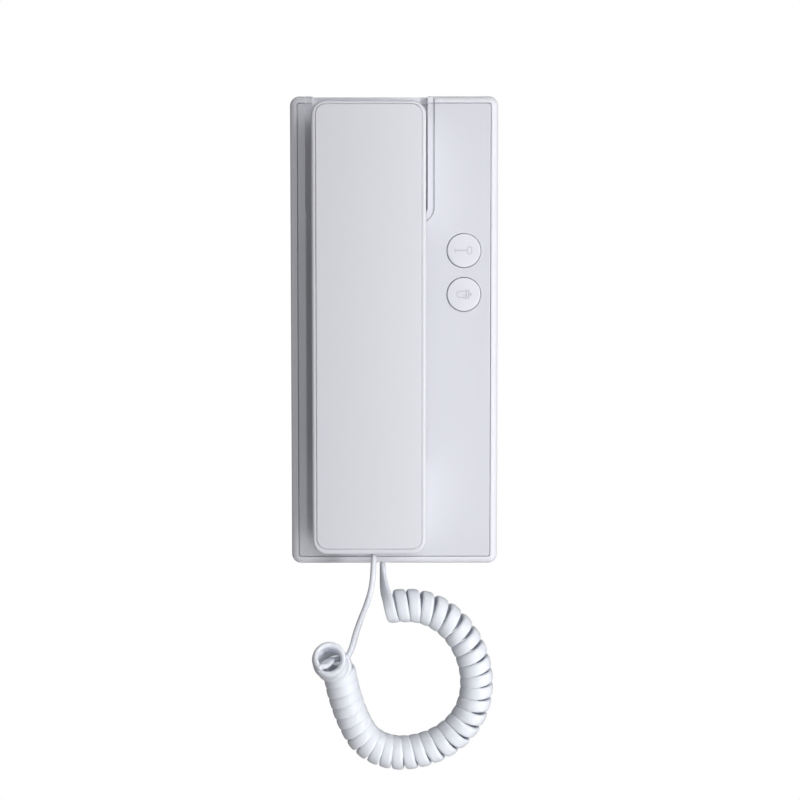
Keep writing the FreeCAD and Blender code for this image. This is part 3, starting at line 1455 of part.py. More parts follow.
def make_coil():
    """The curly stretch, one unbroken tube. Returns its two ends as points with the cord's way there."""
    diameter = number("cord_diameter")
    nodes, total = coil_nodes()
    edges, radii = [], []
    first, first_way = nodes[0]
    start = first - first_way * diameter
    edges.append(Part.LineSegment(start, first).toShape())
    for (a, a_way), (b, b_way) in zip(nodes, nodes[1:]):
        for edge, radius in biarc(a, a_way, b, b_way):
            edges.append(edge)
            radii.append(radius)
    last, last_way = nodes[-1]
    end = last + last_way * diameter
    edges.append(Part.LineSegment(last, end).toShape())
    length = sum(edge.Length for edge in edges)
    spacing = 1.0
    points = [point for edge in edges for point in edge.discretize(max(2, round(edge.Length / spacing)))[:-1]]
    print(f"coil: {total:.2f} turns, {length:.1f} mm of cord, tightest arc {min(radii):.2f} mm")
    print(f"coil: least gap to itself {least_gap(points, spacing, diameter):.2f} mm")
    cord_piece("cord_coil", swept(edges, start, first_way, diameter / 2))
    return (start, first_way), (end, last_way), length


def tail(label, route):
    """A free stretch: straight runs joined by arcs as large as the runs allow."""
    diameter = number("cord_diameter")
    edges, radii, here = [], [], route[0]
    for before, corner, after in zip(route, route[1:], route[2:]):
        way_in, way_out = (corner - before).normalize(), (after - corner).normalize()
        half_turn = way_in.getAngle(way_out) / 2
        shorter = min((corner - before).Length, (after - corner).Length)
        reach = 0.45 * shorter
        radii.append(reach / math.tan(half_turn))
        arc_start, arc_end = corner - way_in * reach, corner + way_out * reach
        edges.append(Part.LineSegment(here, arc_start).toShape())
        edges.append(arc_between(arc_start, corner, arc_end)[0])
        here = arc_end
    edges.append(Part.LineSegment(here, route[-1]).toShape())
    length = sum(edge.Length for edge in edges)
    solid = swept(edges, route[0], (route[1] - route[0]).normalize(), diameter / 2)
    expected = math.pi * diameter**2 / 4 * length
    print(f"{label}: {length:.1f} mm, arc radii", ", ".join(f"{radius:.0f}" for radius in radii))
    print(f"{label}: volume {solid.Volume / expected:.4f} of its section times its length")
    cord_piece(label, solid)
    return length


def make_cord():
    base_end, handset_end, coil_length = make_coil()
    lead = 7.5
    place, way = base_end
    route = [at_room(*point) for point in BASE_TAIL] + [place - way * lead, place]
    total = coil_length + tail("cord_base_tail", route)
    place, way = handset_end
    route = [at_room(*point) for point in HANDSET_TAIL] + [place + way * lead, place]
    total += tail("cord_handset_tail", route)
    print(f"cord: {total:.1f} mm from plug to plug")


def main():
    fill_sheet("sizes", SIZES)
    fill_sheet("derived", WORKED_OUT)
    make_wall_plate()
    make_rear_housing()
    make_front_panel()
    make_circuit_board()
    make_board_parts()
    make_ringer()
    make_hook()
    make_buttons()
    make_handset_shell()
    make_handset_cover()
    make_ear_and_mouth()
    make_handset_weight()
    make_plugs_and_jacks()
    make_screws()
    make_cord()
    doc.recompute()
    for item in doc.Objects:
        if "Invalid" in item.State or "Error" in item.State:
            raise RuntimeError(f"{item.Label} is {item.State}")
    os.makedirs("parts", exist_ok=True)
    for node in PIECES:
        if node.Shape.isNull() or not node.Shape.isValid():
            raise RuntimeError(f"{node.Label} has no valid shape")
        node.Shape.exportStep(f"parts/{node.Label}.step")
        print(f"{node.Label}: {len(node.Shape.Solids)} solids, {node.Shape.Volume:.0f} mm3")


main()
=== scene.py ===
import json
import math

import bpy
import numpy as np
from bpy.props import FloatProperty, FloatVectorProperty, IntProperty, PointerProperty
from mathutils import Matrix, Vector


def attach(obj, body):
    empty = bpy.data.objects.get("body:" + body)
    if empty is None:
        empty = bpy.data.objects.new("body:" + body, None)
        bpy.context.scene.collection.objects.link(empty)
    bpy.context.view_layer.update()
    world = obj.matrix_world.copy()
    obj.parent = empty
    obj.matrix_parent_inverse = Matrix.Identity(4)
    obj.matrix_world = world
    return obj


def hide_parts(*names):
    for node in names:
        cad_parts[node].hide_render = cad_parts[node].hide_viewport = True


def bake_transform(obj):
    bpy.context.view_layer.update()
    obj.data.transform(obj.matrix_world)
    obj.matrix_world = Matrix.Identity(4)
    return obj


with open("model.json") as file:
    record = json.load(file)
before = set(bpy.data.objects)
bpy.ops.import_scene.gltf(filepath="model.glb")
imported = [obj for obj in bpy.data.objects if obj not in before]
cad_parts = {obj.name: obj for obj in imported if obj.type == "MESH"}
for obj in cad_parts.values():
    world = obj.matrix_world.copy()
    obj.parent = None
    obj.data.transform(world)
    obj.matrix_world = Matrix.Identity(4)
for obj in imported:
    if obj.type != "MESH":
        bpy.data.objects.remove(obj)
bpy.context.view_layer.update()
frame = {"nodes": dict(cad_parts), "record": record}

bl_info = {
    "name": "Slim handset station",
    "version": (1, 0, 0),
    "blender": (4, 5, 0),
    "location": "3D View > Sidebar > Station",
    "description": "Builds the looks of a wall handset station around its packed parts",
    "category": "Add Mesh",
}

MM = 0.001

# The camera: its place in metres, its turns in degrees, and its lens and film in millimetres.
CAMERA_PLACE = (0.00236, -0.55704, -0.0054)
CAMERA_DOWN, CAMERA_ASIDE, CAMERA_ROLL = 2.682, 0.019, -0.032
CAMERA_LENS, CAMERA_FILM = 54.0, 36.0

# The curly stretch's middle line, from the base's end round the lower loop to the handset's end: x, depth
# from the wall and z in millimetres, and the turn reached there. At a whole turn the cord is in front.
CURLS_ROUTE = [
    (-5.8, 19.5, -124.4, -0.70),
    (0.8, 19.7, -123.5, 0.42),
    (12.8, 20.0, -123.5, 2.62),
    (24.3, 20.4, -129.4, 4.80),
    (32.3, 20.7, -139.1, 6.82),
    (36.8, 21.1, -150.9, 8.93),
    (37.3, 21.5, -163.6, 11.31),
    (32.9, 21.8, -175.5, 13.44),
    (23.7, 22.2, -184.3, 15.64),
    (12.1, 22.5, -189.2, 17.83),
    (-0.5, 23.1, -190.3, 20.21),
    (-12.6, 23.6, -185.2, 22.97),
    (-18.7, 24.1, -174.4, 25.58),
    (-22.9, 24.8, -161.7, 28.41),
    (-24.4, 24.9, -153.6, 30.30),
    (-25.5, 25.4, -150.0, 30.90),
    (-26.6, 28.8, -149.0, 31.50),
    (-28.2, 34.4, -146.5, 32.20),
    (-28.5, 40.1, -142.8, 33.28),
    (-28.1, 42.6, -141.8, 33.80),
]
# The turn at which the curls begin, the share of them that rides on the base, past the lower loop's lowest
# turns, and how many turns at the end ride on the handset.
FIRST_TURN = -0.12
BASE_SHARE = 0.68
HANDSET_TURNS = 1.3
# The cord's last bends, from the end ring inwards and out behind its right side: right, up and towards the
# room from the ring's middle, in millimetres.
RING_CORNERS = [
    (-4.6, -3.1, 0.0),
    (-3.0, -3.2, -0.6),
    (-1.6, -2.2, -2.6),
    (0.2, -0.6, -5.6),
    (2.4, 0.6, -9.0),
    (5.4, 1.2, -11.4),
    (8.6, 1.0, -12.0),
]
# The straight stretches between the curls and the plugs, and where they leave the two openings.
BASE_LEAD = [
    (-5.5, 14.2, -99.5),
    (-5.5, 14.2, -106.2),
    (-5.2, 15.8, -111.0),
    (-4.6, 20.0, -116.2),
]
HANDSET_LEAD = [
    (-18.7, 31.0, -140.3),
    (-17.1, 33.6, -133.1),
    (-14.9, 35.8, -126.4),
    (-12.3, 37.4, -119.9),
    (-9.9, 38.6, -112.1),
    (-9.0, 39.0, -104.0),
    (-8.8, 39.0, -94.6),
]
# Steps of the curves between two corners.
ROUTE_STEPS, CORD_STEPS = 60, 4
# The flat cord is thin towards the middle of its bends: not told under the first curvature and sure from
# the second on, per metre.
BEND_SEEN, BEND_SURE = 60.0, 120.0
# The bends tell it up to this part of a turn before the curls' end.
BENDS_STOP = 0.1
# So near to its ends the cord lies across the openings.
OPENING_REACH = 8 * MM
# The length over which a change of its twist evens out.
TWIST_REACH = 3 * MM

# The two buttons' middles, and how far their engraved symbols reach and how deep they start; these bound the
# shade painted into the symbols.
KEYS_X, KEYS_Z, KEYS_APART = 30.95, 26.2, 19.4
KEY_SYMBOL_REACH, KEY_SYMBOL_DEPTH = 4.6, 22.65

# The lights: where each stands and where it aims, its width and height, all in metres, and its setting.
LIGHTS = (
    ("light_right", (0.31, -0.33, 0.0), (0.0, -0.02, 0.0), 0.1, 1.0, "key"),
    ("light_front", (0.13, -0.93, 0.0), (0.0, -0.02, 0.0), 0.04, 1.2, "front"),
    ("light_left", (-0.95, -0.12, 0.1), (0.0, -0.02, 0.05), 0.4, 0.9, "fill"),
    ("light_top", (0.1, -0.35, 0.95), (0.0, -0.02, 0.475), 0.9, 0.5, "overhead"),
    ("light_low", (0.1, -0.35, -0.62), (0.0, -0.02, -0.31), 0.9, 0.5, "under"),
)
FLOOR_Z, FLOOR_RADIUS, FLOOR_CORNERS = -0.75, 1.2, 96
FLOOR_GLOW = 0.6
WHITE = (1.0, 1.0, 1.0, 1.0)

# Which finish each piece has.
BASE_PARTS = {
    "rear_housing": "case_white",
    "front_panel": "panel_white",
    "door_button": "button_white",
    "call_button": "button_white",
    "hook_plunger": "button_white",
}
HANDSET_PARTS = {
    "handset_shell": "handset_white",
    "handset_cover": "handset_white",
}
INNER_PARTS = {
    "wall_plate": "zinc_steel",
    "circuit_board": "board_green",
    "terminal_block": "terminal_green",
    "terminal_screws": "zinc_steel",
    "board_capacitors": "can_metal",
    "board_chips": "dark_plastic",
    "ringer": "dark_plastic",
    "base_jack": "dark_plastic",
    "handset_jack": "dark_plastic",
    "base_plug": "clear_plug",
    "handset_plug": "clear_plug",
    "hook_switch": "dark_plastic",
    "hook_spring": "zinc_steel",
    "door_button_dome": "grey_rubber",
    "call_button_dome": "grey_rubber",
    "board_screws": "zinc_steel",
    "panel_screws": "zinc_steel",
    "handset_screws": "zinc_steel",
    "earpiece": "can_metal",
    "earpiece_gasket": "grey_rubber",
    "microphone": "can_metal",
    "microphone_boot": "grey_rubber",
    "handset_weight": "zinc_steel",
}


# What a user would change


class CordSizes(bpy.types.PropertyGroup):
    width: FloatProperty(
        name="Width", description="Width of the flat cord", default=5.2 * MM, unit="LENGTH", precision=4
    )
    thickness: FloatProperty(
        name="Thickness", description="Thickness of the flat cord", default=2.5 * MM, unit="LENGTH",
        precision=4,
    )
    curl_radius: FloatProperty(
        name="Curl radius", description="From the curls' middle line to the cord's middle", default=6.2 * MM,
        unit="LENGTH", precision=4,
    )
    curls: IntProperty(name="Curls", description="Turns of the curly stretch", default=34, min=3)
    points_per_curl: IntProperty(
        name="Points per curl", description="Points of the cord's spline in each turn", default=16, min=12
    )


class StationColours(bpy.types.PropertyGroup):
    case: FloatVectorProperty(
        name="Case", description="The base's rim and back", subtype="COLOR", default=(0.80, 0.806, 0.86)
    )
    panel: FloatVectorProperty(
        name="Front panel", description="The inset front of the base", subtype="COLOR",
        default=(0.692, 0.70, 0.75),
    )
    handset: FloatVectorProperty(
        name="Handset", description="The handset's shell and front", subtype="COLOR",
        default=(0.77, 0.773, 0.828),
    )
    button: FloatVectorProperty(
        name="Buttons", description="The two round keys", subtype="COLOR", default=(0.755, 0.762, 0.812)
    )
    cord: FloatVectorProperty(
        name="Cord", description="The curly cord", subtype="COLOR", default=(0.86, 0.885, 0.95)
    )
    floor: FloatVectorProperty(
        name="Floor", description="The pale floor below", subtype="COLOR", default=(0.9, 0.9, 0.9)
    )


class StageLight(bpy.types.PropertyGroup):
    key: FloatProperty(name="Right light", description="Tall light at the right", default=2.4, unit="POWER")
    front: FloatProperty(
        name="Front light", description="Narrow light right of the camera", default=1.7, unit="POWER"
    )
    fill: FloatProperty(name="Left light", description="Weak light at the left", default=1.3, unit="POWER")
    overhead: FloatProperty(name="Top light", description="Soft light from above", default=1.1, unit="POWER")
    under: FloatProperty(name="Low light", description="Soft light from below", default=0.95, unit="POWER")
    air: FloatProperty(name="Room light", description="Even light from all round", default=0.1, min=0.0)


# Finishes


class Finish:
    """A material of nodes that is filled step by step."""

    def __init__(self, name, colour, roughness, specular=0.5, metallic=0.0):
        self.material = bpy.data.materials.new(name)
        self.material.use_nodes = True
        self.tree = self.material.node_tree
        self.shader = self.tree.nodes["Principled BSDF"]
        self.shader.inputs["Base Color"].default_value = (*colour, 1.0)
        self.shader.inputs["Roughness"].default_value = roughness
        self.shader.inputs["Specular IOR Level"].default_value = specular
        self.shader.inputs["Metallic"].default_value = metallic
        self.place = self.tree.nodes.new("ShaderNodeTexCoord").outputs["Object"]
        self.height = None

    def node(self, kind, **values):
        """A new node, whose inputs and settings take the named values."""
        made = self.tree.nodes.new(kind)
        for key, value in values.items():
            if key in made.inputs:
                made.inputs[key].default_value = value
            else:
                setattr(made, key, value)
        return made

    def join(self, output, socket):
        self.tree.links.new(output, socket)

    def cloud(self, size, detail=2.0, stretch=None):
        """Soft noise whose patches are about this many millimetres across."""
        place = self.place
        if stretch:
            scaled = self.node("ShaderNodeMapping", Scale=stretch)
            self.join(place, scaled.inputs["Vector"])
            place = scaled.outputs["Vector"]
        noise = self.node("ShaderNodeTexNoise", Scale=1 / (size * MM), Detail=detail)
        self.join(place, noise.inputs["Vector"])
        return noise.outputs["Fac"]

    def between(self, value, low, high, to_low, to_high):
        """The value's stretch from low to high, spread over another range and held at its ends."""
        ranged = self.node("ShaderNodeMapRange")
        for name, number in zip(("From Min", "From Max", "To Min", "To Max"), (low, high, to_low, to_high)):
            ranged.inputs[name].default_value = number
        self.join(value, ranged.inputs["Value"])
        return ranged.outputs["Result"]

    def count(self, operation, *values):
        """One sum of a number or two that vary over the surface."""
        made = self.node("ShaderNodeMath", operation=operation)
        for socket, value in zip(made.inputs, values):
            if isinstance(value, float):
                socket.default_value = value
            else:
                self.join(value, socket)
        return made.outputs[0]

    def tint(self, share, towards):
        """Leans the colour towards another one by a share that varies over the surface."""
        mix = self.node("ShaderNodeMix", data_type="RGBA")
        mix_share, mix_from, mix_towards, mixed = mix.inputs[0], mix.inputs[6], mix.inputs[7], mix.outputs[2]
        colour = self.shader.inputs["Base Color"]
        if colour.is_linked:
            self.join(colour.links[0].from_socket, mix_from)
        else:
            mix_from.default_value = tuple(colour.default_value)
        mix_towards.default_value = (*towards, 1.0)
        self.join(share, mix_share)
        self.join(mixed, colour)

    def uneven(self, value, low, high):
        """Roughness that varies between two values."""
        self.join(self.between(value, 0.3, 0.7, low, high), self.shader.inputs["Roughness"])

    def relief(self, value, millimetres):
        """Adds a texture that stands this high."""
        bump = self.node("ShaderNodeBump", Strength=1.0, Distance=millimetres * MM)
        self.join(value, bump.inputs["Height"])
        if self.height:
            self.join(self.height, bump.inputs["Normal"])
        self.height = bump.outputs["Normal"]
        self.join(self.height, self.shader.inputs["Normal"])


def shaded(colour, share):
    """The colour, darker or paler by a share."""
    return tuple(c * share for c in colour)


def moulded(name, colour, roughness, grain=0.35, depth=0.006):
    """Injection-moulded plastic: fine spark texture, faint mottling and a slightly uneven shine."""
    finish = Finish(name, colour, roughness)
    finish.tint(finish.between(finish.cloud(38, 3), 0.35, 0.7, 0.0, 0.05), shaded(colour, 0.86))
    finish.tint(finish.between(finish.cloud(2.2, 4), 0.62, 0.8, 0.0, 0.06), (0.62, 0.61, 0.6))
    finish.uneven(finish.cloud(9, 3), roughness - 0.03, roughness + 0.05)
    finish.relief(finish.cloud(grain, 3), depth)
    finish.relief(finish.cloud(26, 1), 0.03)
    return finish


def keycap(name, colour, roughness):
    """A push button's plastic, with painted shade in the sunken floor of its engraved symbol."""
    finish = moulded(name, colour, roughness, 0.3, 0.004)
    split = finish.node("ShaderNodeSeparateXYZ")
    finish.join(finish.place, split.inputs[0])
    across = finish.count("ABSOLUTE", finish.count("SUBTRACT", split.outputs["X"], KEYS_X * MM))
    from_both = finish.count("ABSOLUTE", finish.count("SUBTRACT", split.outputs["Z"], KEYS_Z * MM))
    up = finish.count("ABSOLUTE", finish.count("SUBTRACT", from_both, KEYS_APART / 2 * MM))
    apart = finish.count("ADD", finish.count("MULTIPLY", across, across), finish.count("MULTIPLY", up, up))
    near = finish.count("LESS_THAN", apart, (KEY_SYMBOL_REACH * MM) ** 2)
    deep = finish.count("GREATER_THAN", split.outputs["Y"], -KEY_SYMBOL_DEPTH * MM)
    # Painted shade: the engraved symbol's sunken floor is tinted darker, as the shade in its grooves.
    finish.tint(finish.count("MULTIPLY", finish.count("MULTIPLY", near, deep), 0.3), (0.3, 0.3, 0.33))
    return finish


def extruded(name, colour, roughness):
    """The cord's skin: smooth soft plastic with faint smudges."""
    finish = Finish(name, colour, roughness)
    finish.tint(finish.between(finish.cloud(7, 3), 0.45, 0.75, 0.0, 0.07), shaded(colour, 0.8))
    finish.uneven(finish.cloud(5, 2), roughness - 0.04, roughness + 0.06)
    finish.relief(finish.cloud(0.6, 2), 0.006)
    return finish


def plated(name, colour, roughness, grain=(1.0, 1.0, 1.0)):
    """Bare or plated metal with duller clouds and a fine grain."""
    finish = Finish(name, colour, roughness, metallic=1.0)
    finish.tint(finish.between(finish.cloud(5, 4), 0.4, 0.7, 0.0, 0.35), shaded(colour, 0.7))
    finish.uneven(finish.cloud(1.2, 4, grain), roughness - 0.08, roughness + 0.12)
    finish.relief(finish.cloud(0.5, 3, grain), 0.01)
    return finish


def rubber(name, colour):
    """Matt rubber with dusty patches."""
    finish = Finish(name, colour, 0.7, specular=0.35)
    finish.tint(finish.between(finish.cloud(3, 4), 0.5, 0.75, 0.0, 0.3), (0.32, 0.32, 0.32))
    finish.relief(finish.cloud(0.25, 3), 0.012)
    return finish


def circuit(name, colour):
    """Lacquered board: paler lines between fields of copper, and a faint weave."""
    finish = Finish(name, colour, 0.35)
    traces = finish.node("ShaderNodeTexBrick", Scale=1 / (6 * MM))
    traces.inputs["Mortar Size"].default_value = 0.04
    traces.inputs["Brick Width"].default_value = 0.9
    finish.join(finish.place, traces.inputs["Vector"])
    finish.tint(traces.outputs["Fac"], shaded(colour, 1.9))
    finish.relief(finish.cloud(0.6, 2, (1.0, 1.0, 3.0)), 0.01)
    return finish


def clear(name, colour):
    """Clear plastic, as of a cord's plug."""
    finish = Finish(name, colour, 0.12)
    finish.shader.inputs["Transmission Weight"].default_value = 0.85
    finish.shader.inputs["IOR"].default_value = 1.5
    finish.relief(finish.cloud(1.5, 2), 0.01)
    return finish


MADE = {}


def finish_of(slot):
    """The material of one of the record's slots, made once."""
    if slot not in MADE:
        colours = bpy.context.scene.station_colours
        make, *values = {
            "case_white": (moulded, "case_plastic", tuple(colours.case), 0.42),
            "panel_white": (moulded, "panel_plastic", tuple(colours.panel), 0.42),
            "handset_white": (moulded, "handset_plastic", tuple(colours.handset), 0.36, 0.3, 0.004),
            "button_white": (keycap, "button_plastic", tuple(colours.button), 0.36),
            "cord_white": (extruded, "cord_skin", tuple(colours.cord), 0.34),
            "clear_plug": (clear, "plug_clear", (0.86, 0.88, 0.9)),
            "dark_plastic": (moulded, "dark_moulding", (0.045, 0.045, 0.05), 0.5),
            "board_green": (circuit, "board_lacquer", (0.03, 0.16, 0.07)),
            "terminal_green": (moulded, "terminal_moulding", (0.06, 0.3, 0.12), 0.45),
            "zinc_steel": (plated, "zinc_plate", (0.62, 0.63, 0.65), 0.34, (1.0, 1.0, 0.12)),
            "can_metal": (plated, "can_aluminium", (0.7, 0.71, 0.72), 0.3),
            "grey_rubber": (rubber, "rubber_grey", (0.2, 0.2, 0.21)),
        }[slot]
        MADE[slot] = make(*values).material
    return MADE[slot]


def paint(parts):
    """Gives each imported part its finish."""
    slots = {material["slot"] for material in frame["record"]["materials"]}
    for node, slot in parts.items():
        if slot not in slots:
            raise RuntimeError(f"the record has no slot {slot}")
        part = frame["nodes"][node]
        if not part.material_slots:
            part.data.materials.append(finish_of(slot))
        for place in part.material_slots:
            place.material = finish_of(slot)


# The cord


def at_room(x, depth, z):
    """A place given in millimetres, with depth measured from the wall towards the room."""
    return Vector((x * MM, -depth * MM, z * MM))


def spline_line(name, corners, steps):
    """The points of the smooth line that these corners pull into shape."""
    curve = bpy.data.curves.new(name, "CURVE")
    curve.dimensions = "3D"
    curve.resolution_u = steps
    spline = curve.splines.new("NURBS")
    spline.points.add(len(corners) - 1)
    for point, corner in zip(spline.points, corners):
        point.co = (*corner, 1.0)
    spline.order_u = 3
    spline.use_endpoint_u = True
    holder = bpy.data.objects.new(name, curve)
    mesh = bpy.data.meshes.new_from_object(holder)
    line = np.array([v.co for v in mesh.vertices], float)
    bpy.data.objects.remove(holder)
    bpy.data.meshes.remove(mesh)
    bpy.data.curves.remove(curve)
    return line


def unit(vectors):
    return vectors / np.maximum(np.linalg.norm(vectors, axis=-1, keepdims=True), 1e-12)


def ways_along(line):
    """The line's direction at each of its points."""
    return unit(np.gradient(line, axis=0))


def distances(line):
    """How far along the line each of its points lies."""
    return np.concatenate([[0.0], np.cumsum(np.linalg.norm(np.diff(line, axis=0), axis=1))])


def nearest(line, place):
    """The number of the line's point that is nearest to a place."""
    return int(np.argmin(np.linalg.norm(line - place, axis=1)))


def carried_sides(ways, first):
    """A side direction that is carried along a line without turning about it."""
    sides, side = [], first
    for way in ways:
        side = side - way * np.dot(side, way)
        side = side / np.linalg.norm(side)
        sides.append(side)
    return np.array(sides)


class Curls:
    """The curly stretch's turns about its middle line, wound like a common screw's thread."""

    def __init__(self, sizes):
        self.radius = sizes.curl_radius
        self.axis = spline_line("curls_axis", [at_room(*stop[:3]) for stop in CURLS_ROUTE], ROUTE_STEPS)
        self.ways = ways_along(self.axis)
        self.fronts = carried_sides(self.ways, np.array((0.0, -1.0, 0.0)))
        counted = [(stop[3], 0.0, 0.0) for stop in CURLS_ROUTE]
        last_in_route = CURLS_ROUTE[-1][3]
        self.last = last_in_route % 1 + sizes.curls - 1
        self.turns = spline_line("curls_turns", counted, ROUTE_STEPS)[:, 0] * self.last / last_in_route

    def at(self, table, turns):
        """A row of a table of the middle line's points, after so many turns."""
        return np.array([np.interp(turns, self.turns, table[:, k]) for k in range(3)])

    def middle(self, turns):
        return self.at(self.axis, turns)

    def point(self, turns, radius):
        way = unit(self.at(self.ways, turns))
        front = self.at(self.fronts, turns)
        front = unit(front - way * np.dot(front, way))
        angle = 2 * math.pi * turns
        out = front * math.cos(angle) + np.cross(way, front) * math.sin(angle)
        return self.middle(turns) + out * radius

    def corners(self, per_turn):
        """Corners whose smooth line runs at the curls' radius."""
        turns = self.last - FIRST_TURN
        count = round(turns * per_turn)
        radius = self.radius / (0.75 + 0.25 * math.cos(2 * math.pi / per_turn))
        return [self.point(FIRST_TURN + turns * i / count, radius) for i in range(count + 1)]

    def ring_corners(self):
        """The corners of the bends after the last turn."""
        middle, way = self.axis[-1], self.ways[-1]
        up = unit(np.array((0.0, 0.0, 1.0)) - way * way[2])
        right = np.cross(up, way)
        return [middle + (right * a + up * b + way * c) * MM for a, b, c in RING_CORNERS]


def cord_line(curls, per_turn):
    """The whole cord's middle, from the base's plug to the handset's."""
    corners = [np.array(at_room(*p)) for p in BASE_LEAD]
    corners += curls.corners(per_turn) + curls.ring_corners()
    corners += [np.array(at_room(*p)) for p in HANDSET_LEAD]
    return spline_line("cord_middle", corners, CORD_STEPS)


def without_half_turns(angles, trust):
    """The same sides of a flat cord, which looks alike from both, with no jumps between trusted angles."""
    made, last = [], 0.0
    for angle, trusted in zip(angles, trust):
        angle = last + (angle - last + math.pi / 2) % math.pi - math.pi / 2
        made.append(angle)
        if trusted > 0:
            last = angle
    return np.array(made)


def evened(angles, trust, steps):
    """Angles near the trusted ones that turn evenly in between: a chain of springs, solved row by row."""
    count = len(angles)
    stiffness = TWIST_REACH**2 / steps
    joint = (stiffness[1:] + stiffness[:-1]) / 2
    before, own, after = np.zeros(count), trust * steps + 1e-9, np.zeros(count)
    own[1:] += joint
    own[:-1] += joint
    before[1:] = -joint
    after[:-1] = -joint
    pull = trust * steps * angles
    for i in range(1, count):
        share = before[i] / own[i - 1]
        own[i] -= share * after[i - 1]
        pull[i] -= share * pull[i - 1]
    made = np.zeros(count)
    made[-1] = pull[-1] / own[-1]
    for i in range(count - 2, -1, -1):
        made[i] = (pull[i] - after[i] * made[i + 1]) / own[i]
    return made


def flat_ways(line, wound_from, wound_to):
    """The direction in which the flat cord is thin: towards the middle of each bend of the wound stretch, and
    across the openings at both ends, turning evenly in between."""
    ways = ways_along(line)
    along = distances(line)
    across = np.array((1.0, 0.0, 0.0))
    carried = carried_sides(ways, across)
    other = np.cross(ways, carried)
    bend = np.gradient(ways, axis=0) / np.gradient(along)[:, None]
    angle = np.arctan2((bend * other).sum(1), (bend * carried).sum(1))
    trust = np.clip((np.linalg.norm(bend, axis=1) - BEND_SEEN) / (BEND_SURE - BEND_SEEN), 0, 1)
    trust[:wound_from] = trust[wound_to:] = 0.0
    at_openings = (along < OPENING_REACH) | (along > along[-1] - OPENING_REACH)
    angle = np.where(at_openings, np.arctan2(other @ across, carried @ across), angle)
    trust = np.where(at_openings, 1.0, trust)
    angle = evened(without_half_turns(angle, trust), trust, np.gradient(along))
    return carried * np.cos(angle)[:, None] + other * np.sin(angle)[:, None]


def strip_section(width, thickness, count=20, fullness=2.9):
    """The flat cord's outline: broad faces that are slightly crowned, and round edges."""
    outline = []
    for i in range(count):
        angle = 2 * math.pi * i / count
        c, s = math.cos(angle), math.sin(angle)
        across = math.copysign(abs(c) ** (2 / fullness), c) * width / 2
        out = math.copysign(abs(s) ** (2 / fullness), s) * thickness / 2
        outline.append((across, out))
    return outline


def strip_mesh(name, line, thin, section):
    """A closed strip along a line, with its thin direction given at each point."""
    ways = ways_along(line)
    thin = unit(thin - ways * (thin * ways).sum(1)[:, None])
    wide = np.cross(ways, thin)
    count = len(section)
    rings = np.stack([line + wide * a + thin * b for a, b in section], axis=1).reshape(-1, 3)
    faces = []
    for i in range(len(line) - 1):
        for k in range(count):
            n = (k + 1) % count
            faces.append((i * count + k, i * count + n, (i + 1) * count + n, (i + 1) * count + k))
    faces.append(tuple(range(count))[::-1])
    last = (len(line) - 1) * count
    faces.append(tuple(range(last, last + count)))
    mesh = bpy.data.meshes.new(name)
    mesh.from_pydata(rings.tolist(), [], faces)
    mesh.validate()
    mesh.update()
    mesh.polygons.foreach_set("use_smooth", [True] * (len(faces) - 2) + [False] * 2)
    return mesh


def show(name, mesh, slot):
    piece = bpy.data.objects.new(name, mesh)
    bpy.context.scene.collection.objects.link(piece)
    mesh.materials.append(finish_of(slot))
    return piece


# The steps


class STATION_OT_camera(bpy.types.Operator):
    """Puts the camera where the picture was taken from"""

    bl_idname = "station.camera"
    bl_label = "Camera"

    def execute(self, context):
        lens = bpy.data.cameras.new("camera")
        lens.lens, lens.sensor_width = CAMERA_LENS, CAMERA_FILM
        lens.clip_start, lens.clip_end = 0.01, 20.0
        camera = bpy.data.objects.new("camera", lens)
        context.scene.collection.objects.link(camera)
        down, aside, roll = (math.radians(a) for a in (CAMERA_DOWN, CAMERA_ASIDE, CAMERA_ROLL))
        camera.matrix_world = (
            Matrix.Translation(CAMERA_PLACE)
            @ Matrix.Rotation(-aside, 4, "Z")
            @ Matrix.Rotation(math.pi / 2 - down, 4, "X")
            @ Matrix.Rotation(roll, 4, "Z")
        )
        context.scene.camera = camera
        return {"FINISHED"}


class STATION_OT_cord(bpy.types.Operator):
    """Lays the flat curly cord, in three stretches so that its upper left part follows the handset"""

    bl_idname = "station.cord"
    bl_label = "Curly cord"

    def execute(self, context):
        sizes = context.scene.cord_sizes
        curls = Curls(sizes)
        line = cord_line(curls, sizes.points_per_curl)
        turn_at_base = math.floor(curls.last * BASE_SHARE) + 0.5
        turn_at_ring = curls.last - HANDSET_TURNS
        wound_from, first_cut, second_cut, wound_to = (
            nearest(line, curls.point(turn, curls.radius))
            for turn in (0.0, turn_at_base, turn_at_ring, curls.last - BENDS_STOP)
        )
        thin = flat_ways(line, wound_from, wound_to)
        section = strip_section(sizes.width, sizes.thickness)
        stretches = [
            ("cord_lower", 0, first_cut, 0.914, ["cord_base_tail", "cord_coil"]),
            ("cord_left", first_cut, second_cut, 0.393, ["cord_coil"]),
            ("cord_upper", second_cut, len(line) - 1, 0.124, ["cord_coil", "cord_handset_tail"]),
        ]
        pieces, paths, lengths = [], [], []
        for name, low, high, length, nodes in stretches:
            path = line[low : high + 1]
            piece = show(name, strip_mesh(name, path, thin[low : high + 1], section), "cord_white")
            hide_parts(*nodes)
            pieces.append(piece)
            paths.append(path)
            lengths.append(length)
        lower, left, upper = pieces
        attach(lower, "base")
        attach(upper, "handset")
        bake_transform(left)
        return {"FINISHED"}


class STATION_OT_base(bpy.types.Operator):
    """Finishes the base's case, front panel and buttons"""

    bl_idname = "station.base"
    bl_label = "Base"

    def execute(self, context):
        paint(BASE_PARTS)
        return {"FINISHED"}


class STATION_OT_handset(bpy.types.Operator):
    """Finishes the handset's shell and front"""

    bl_idname = "station.handset"
    bl_label = "Handset"

    def execute(self, context):
        paint(HANDSET_PARTS)
        return {"FINISHED"}


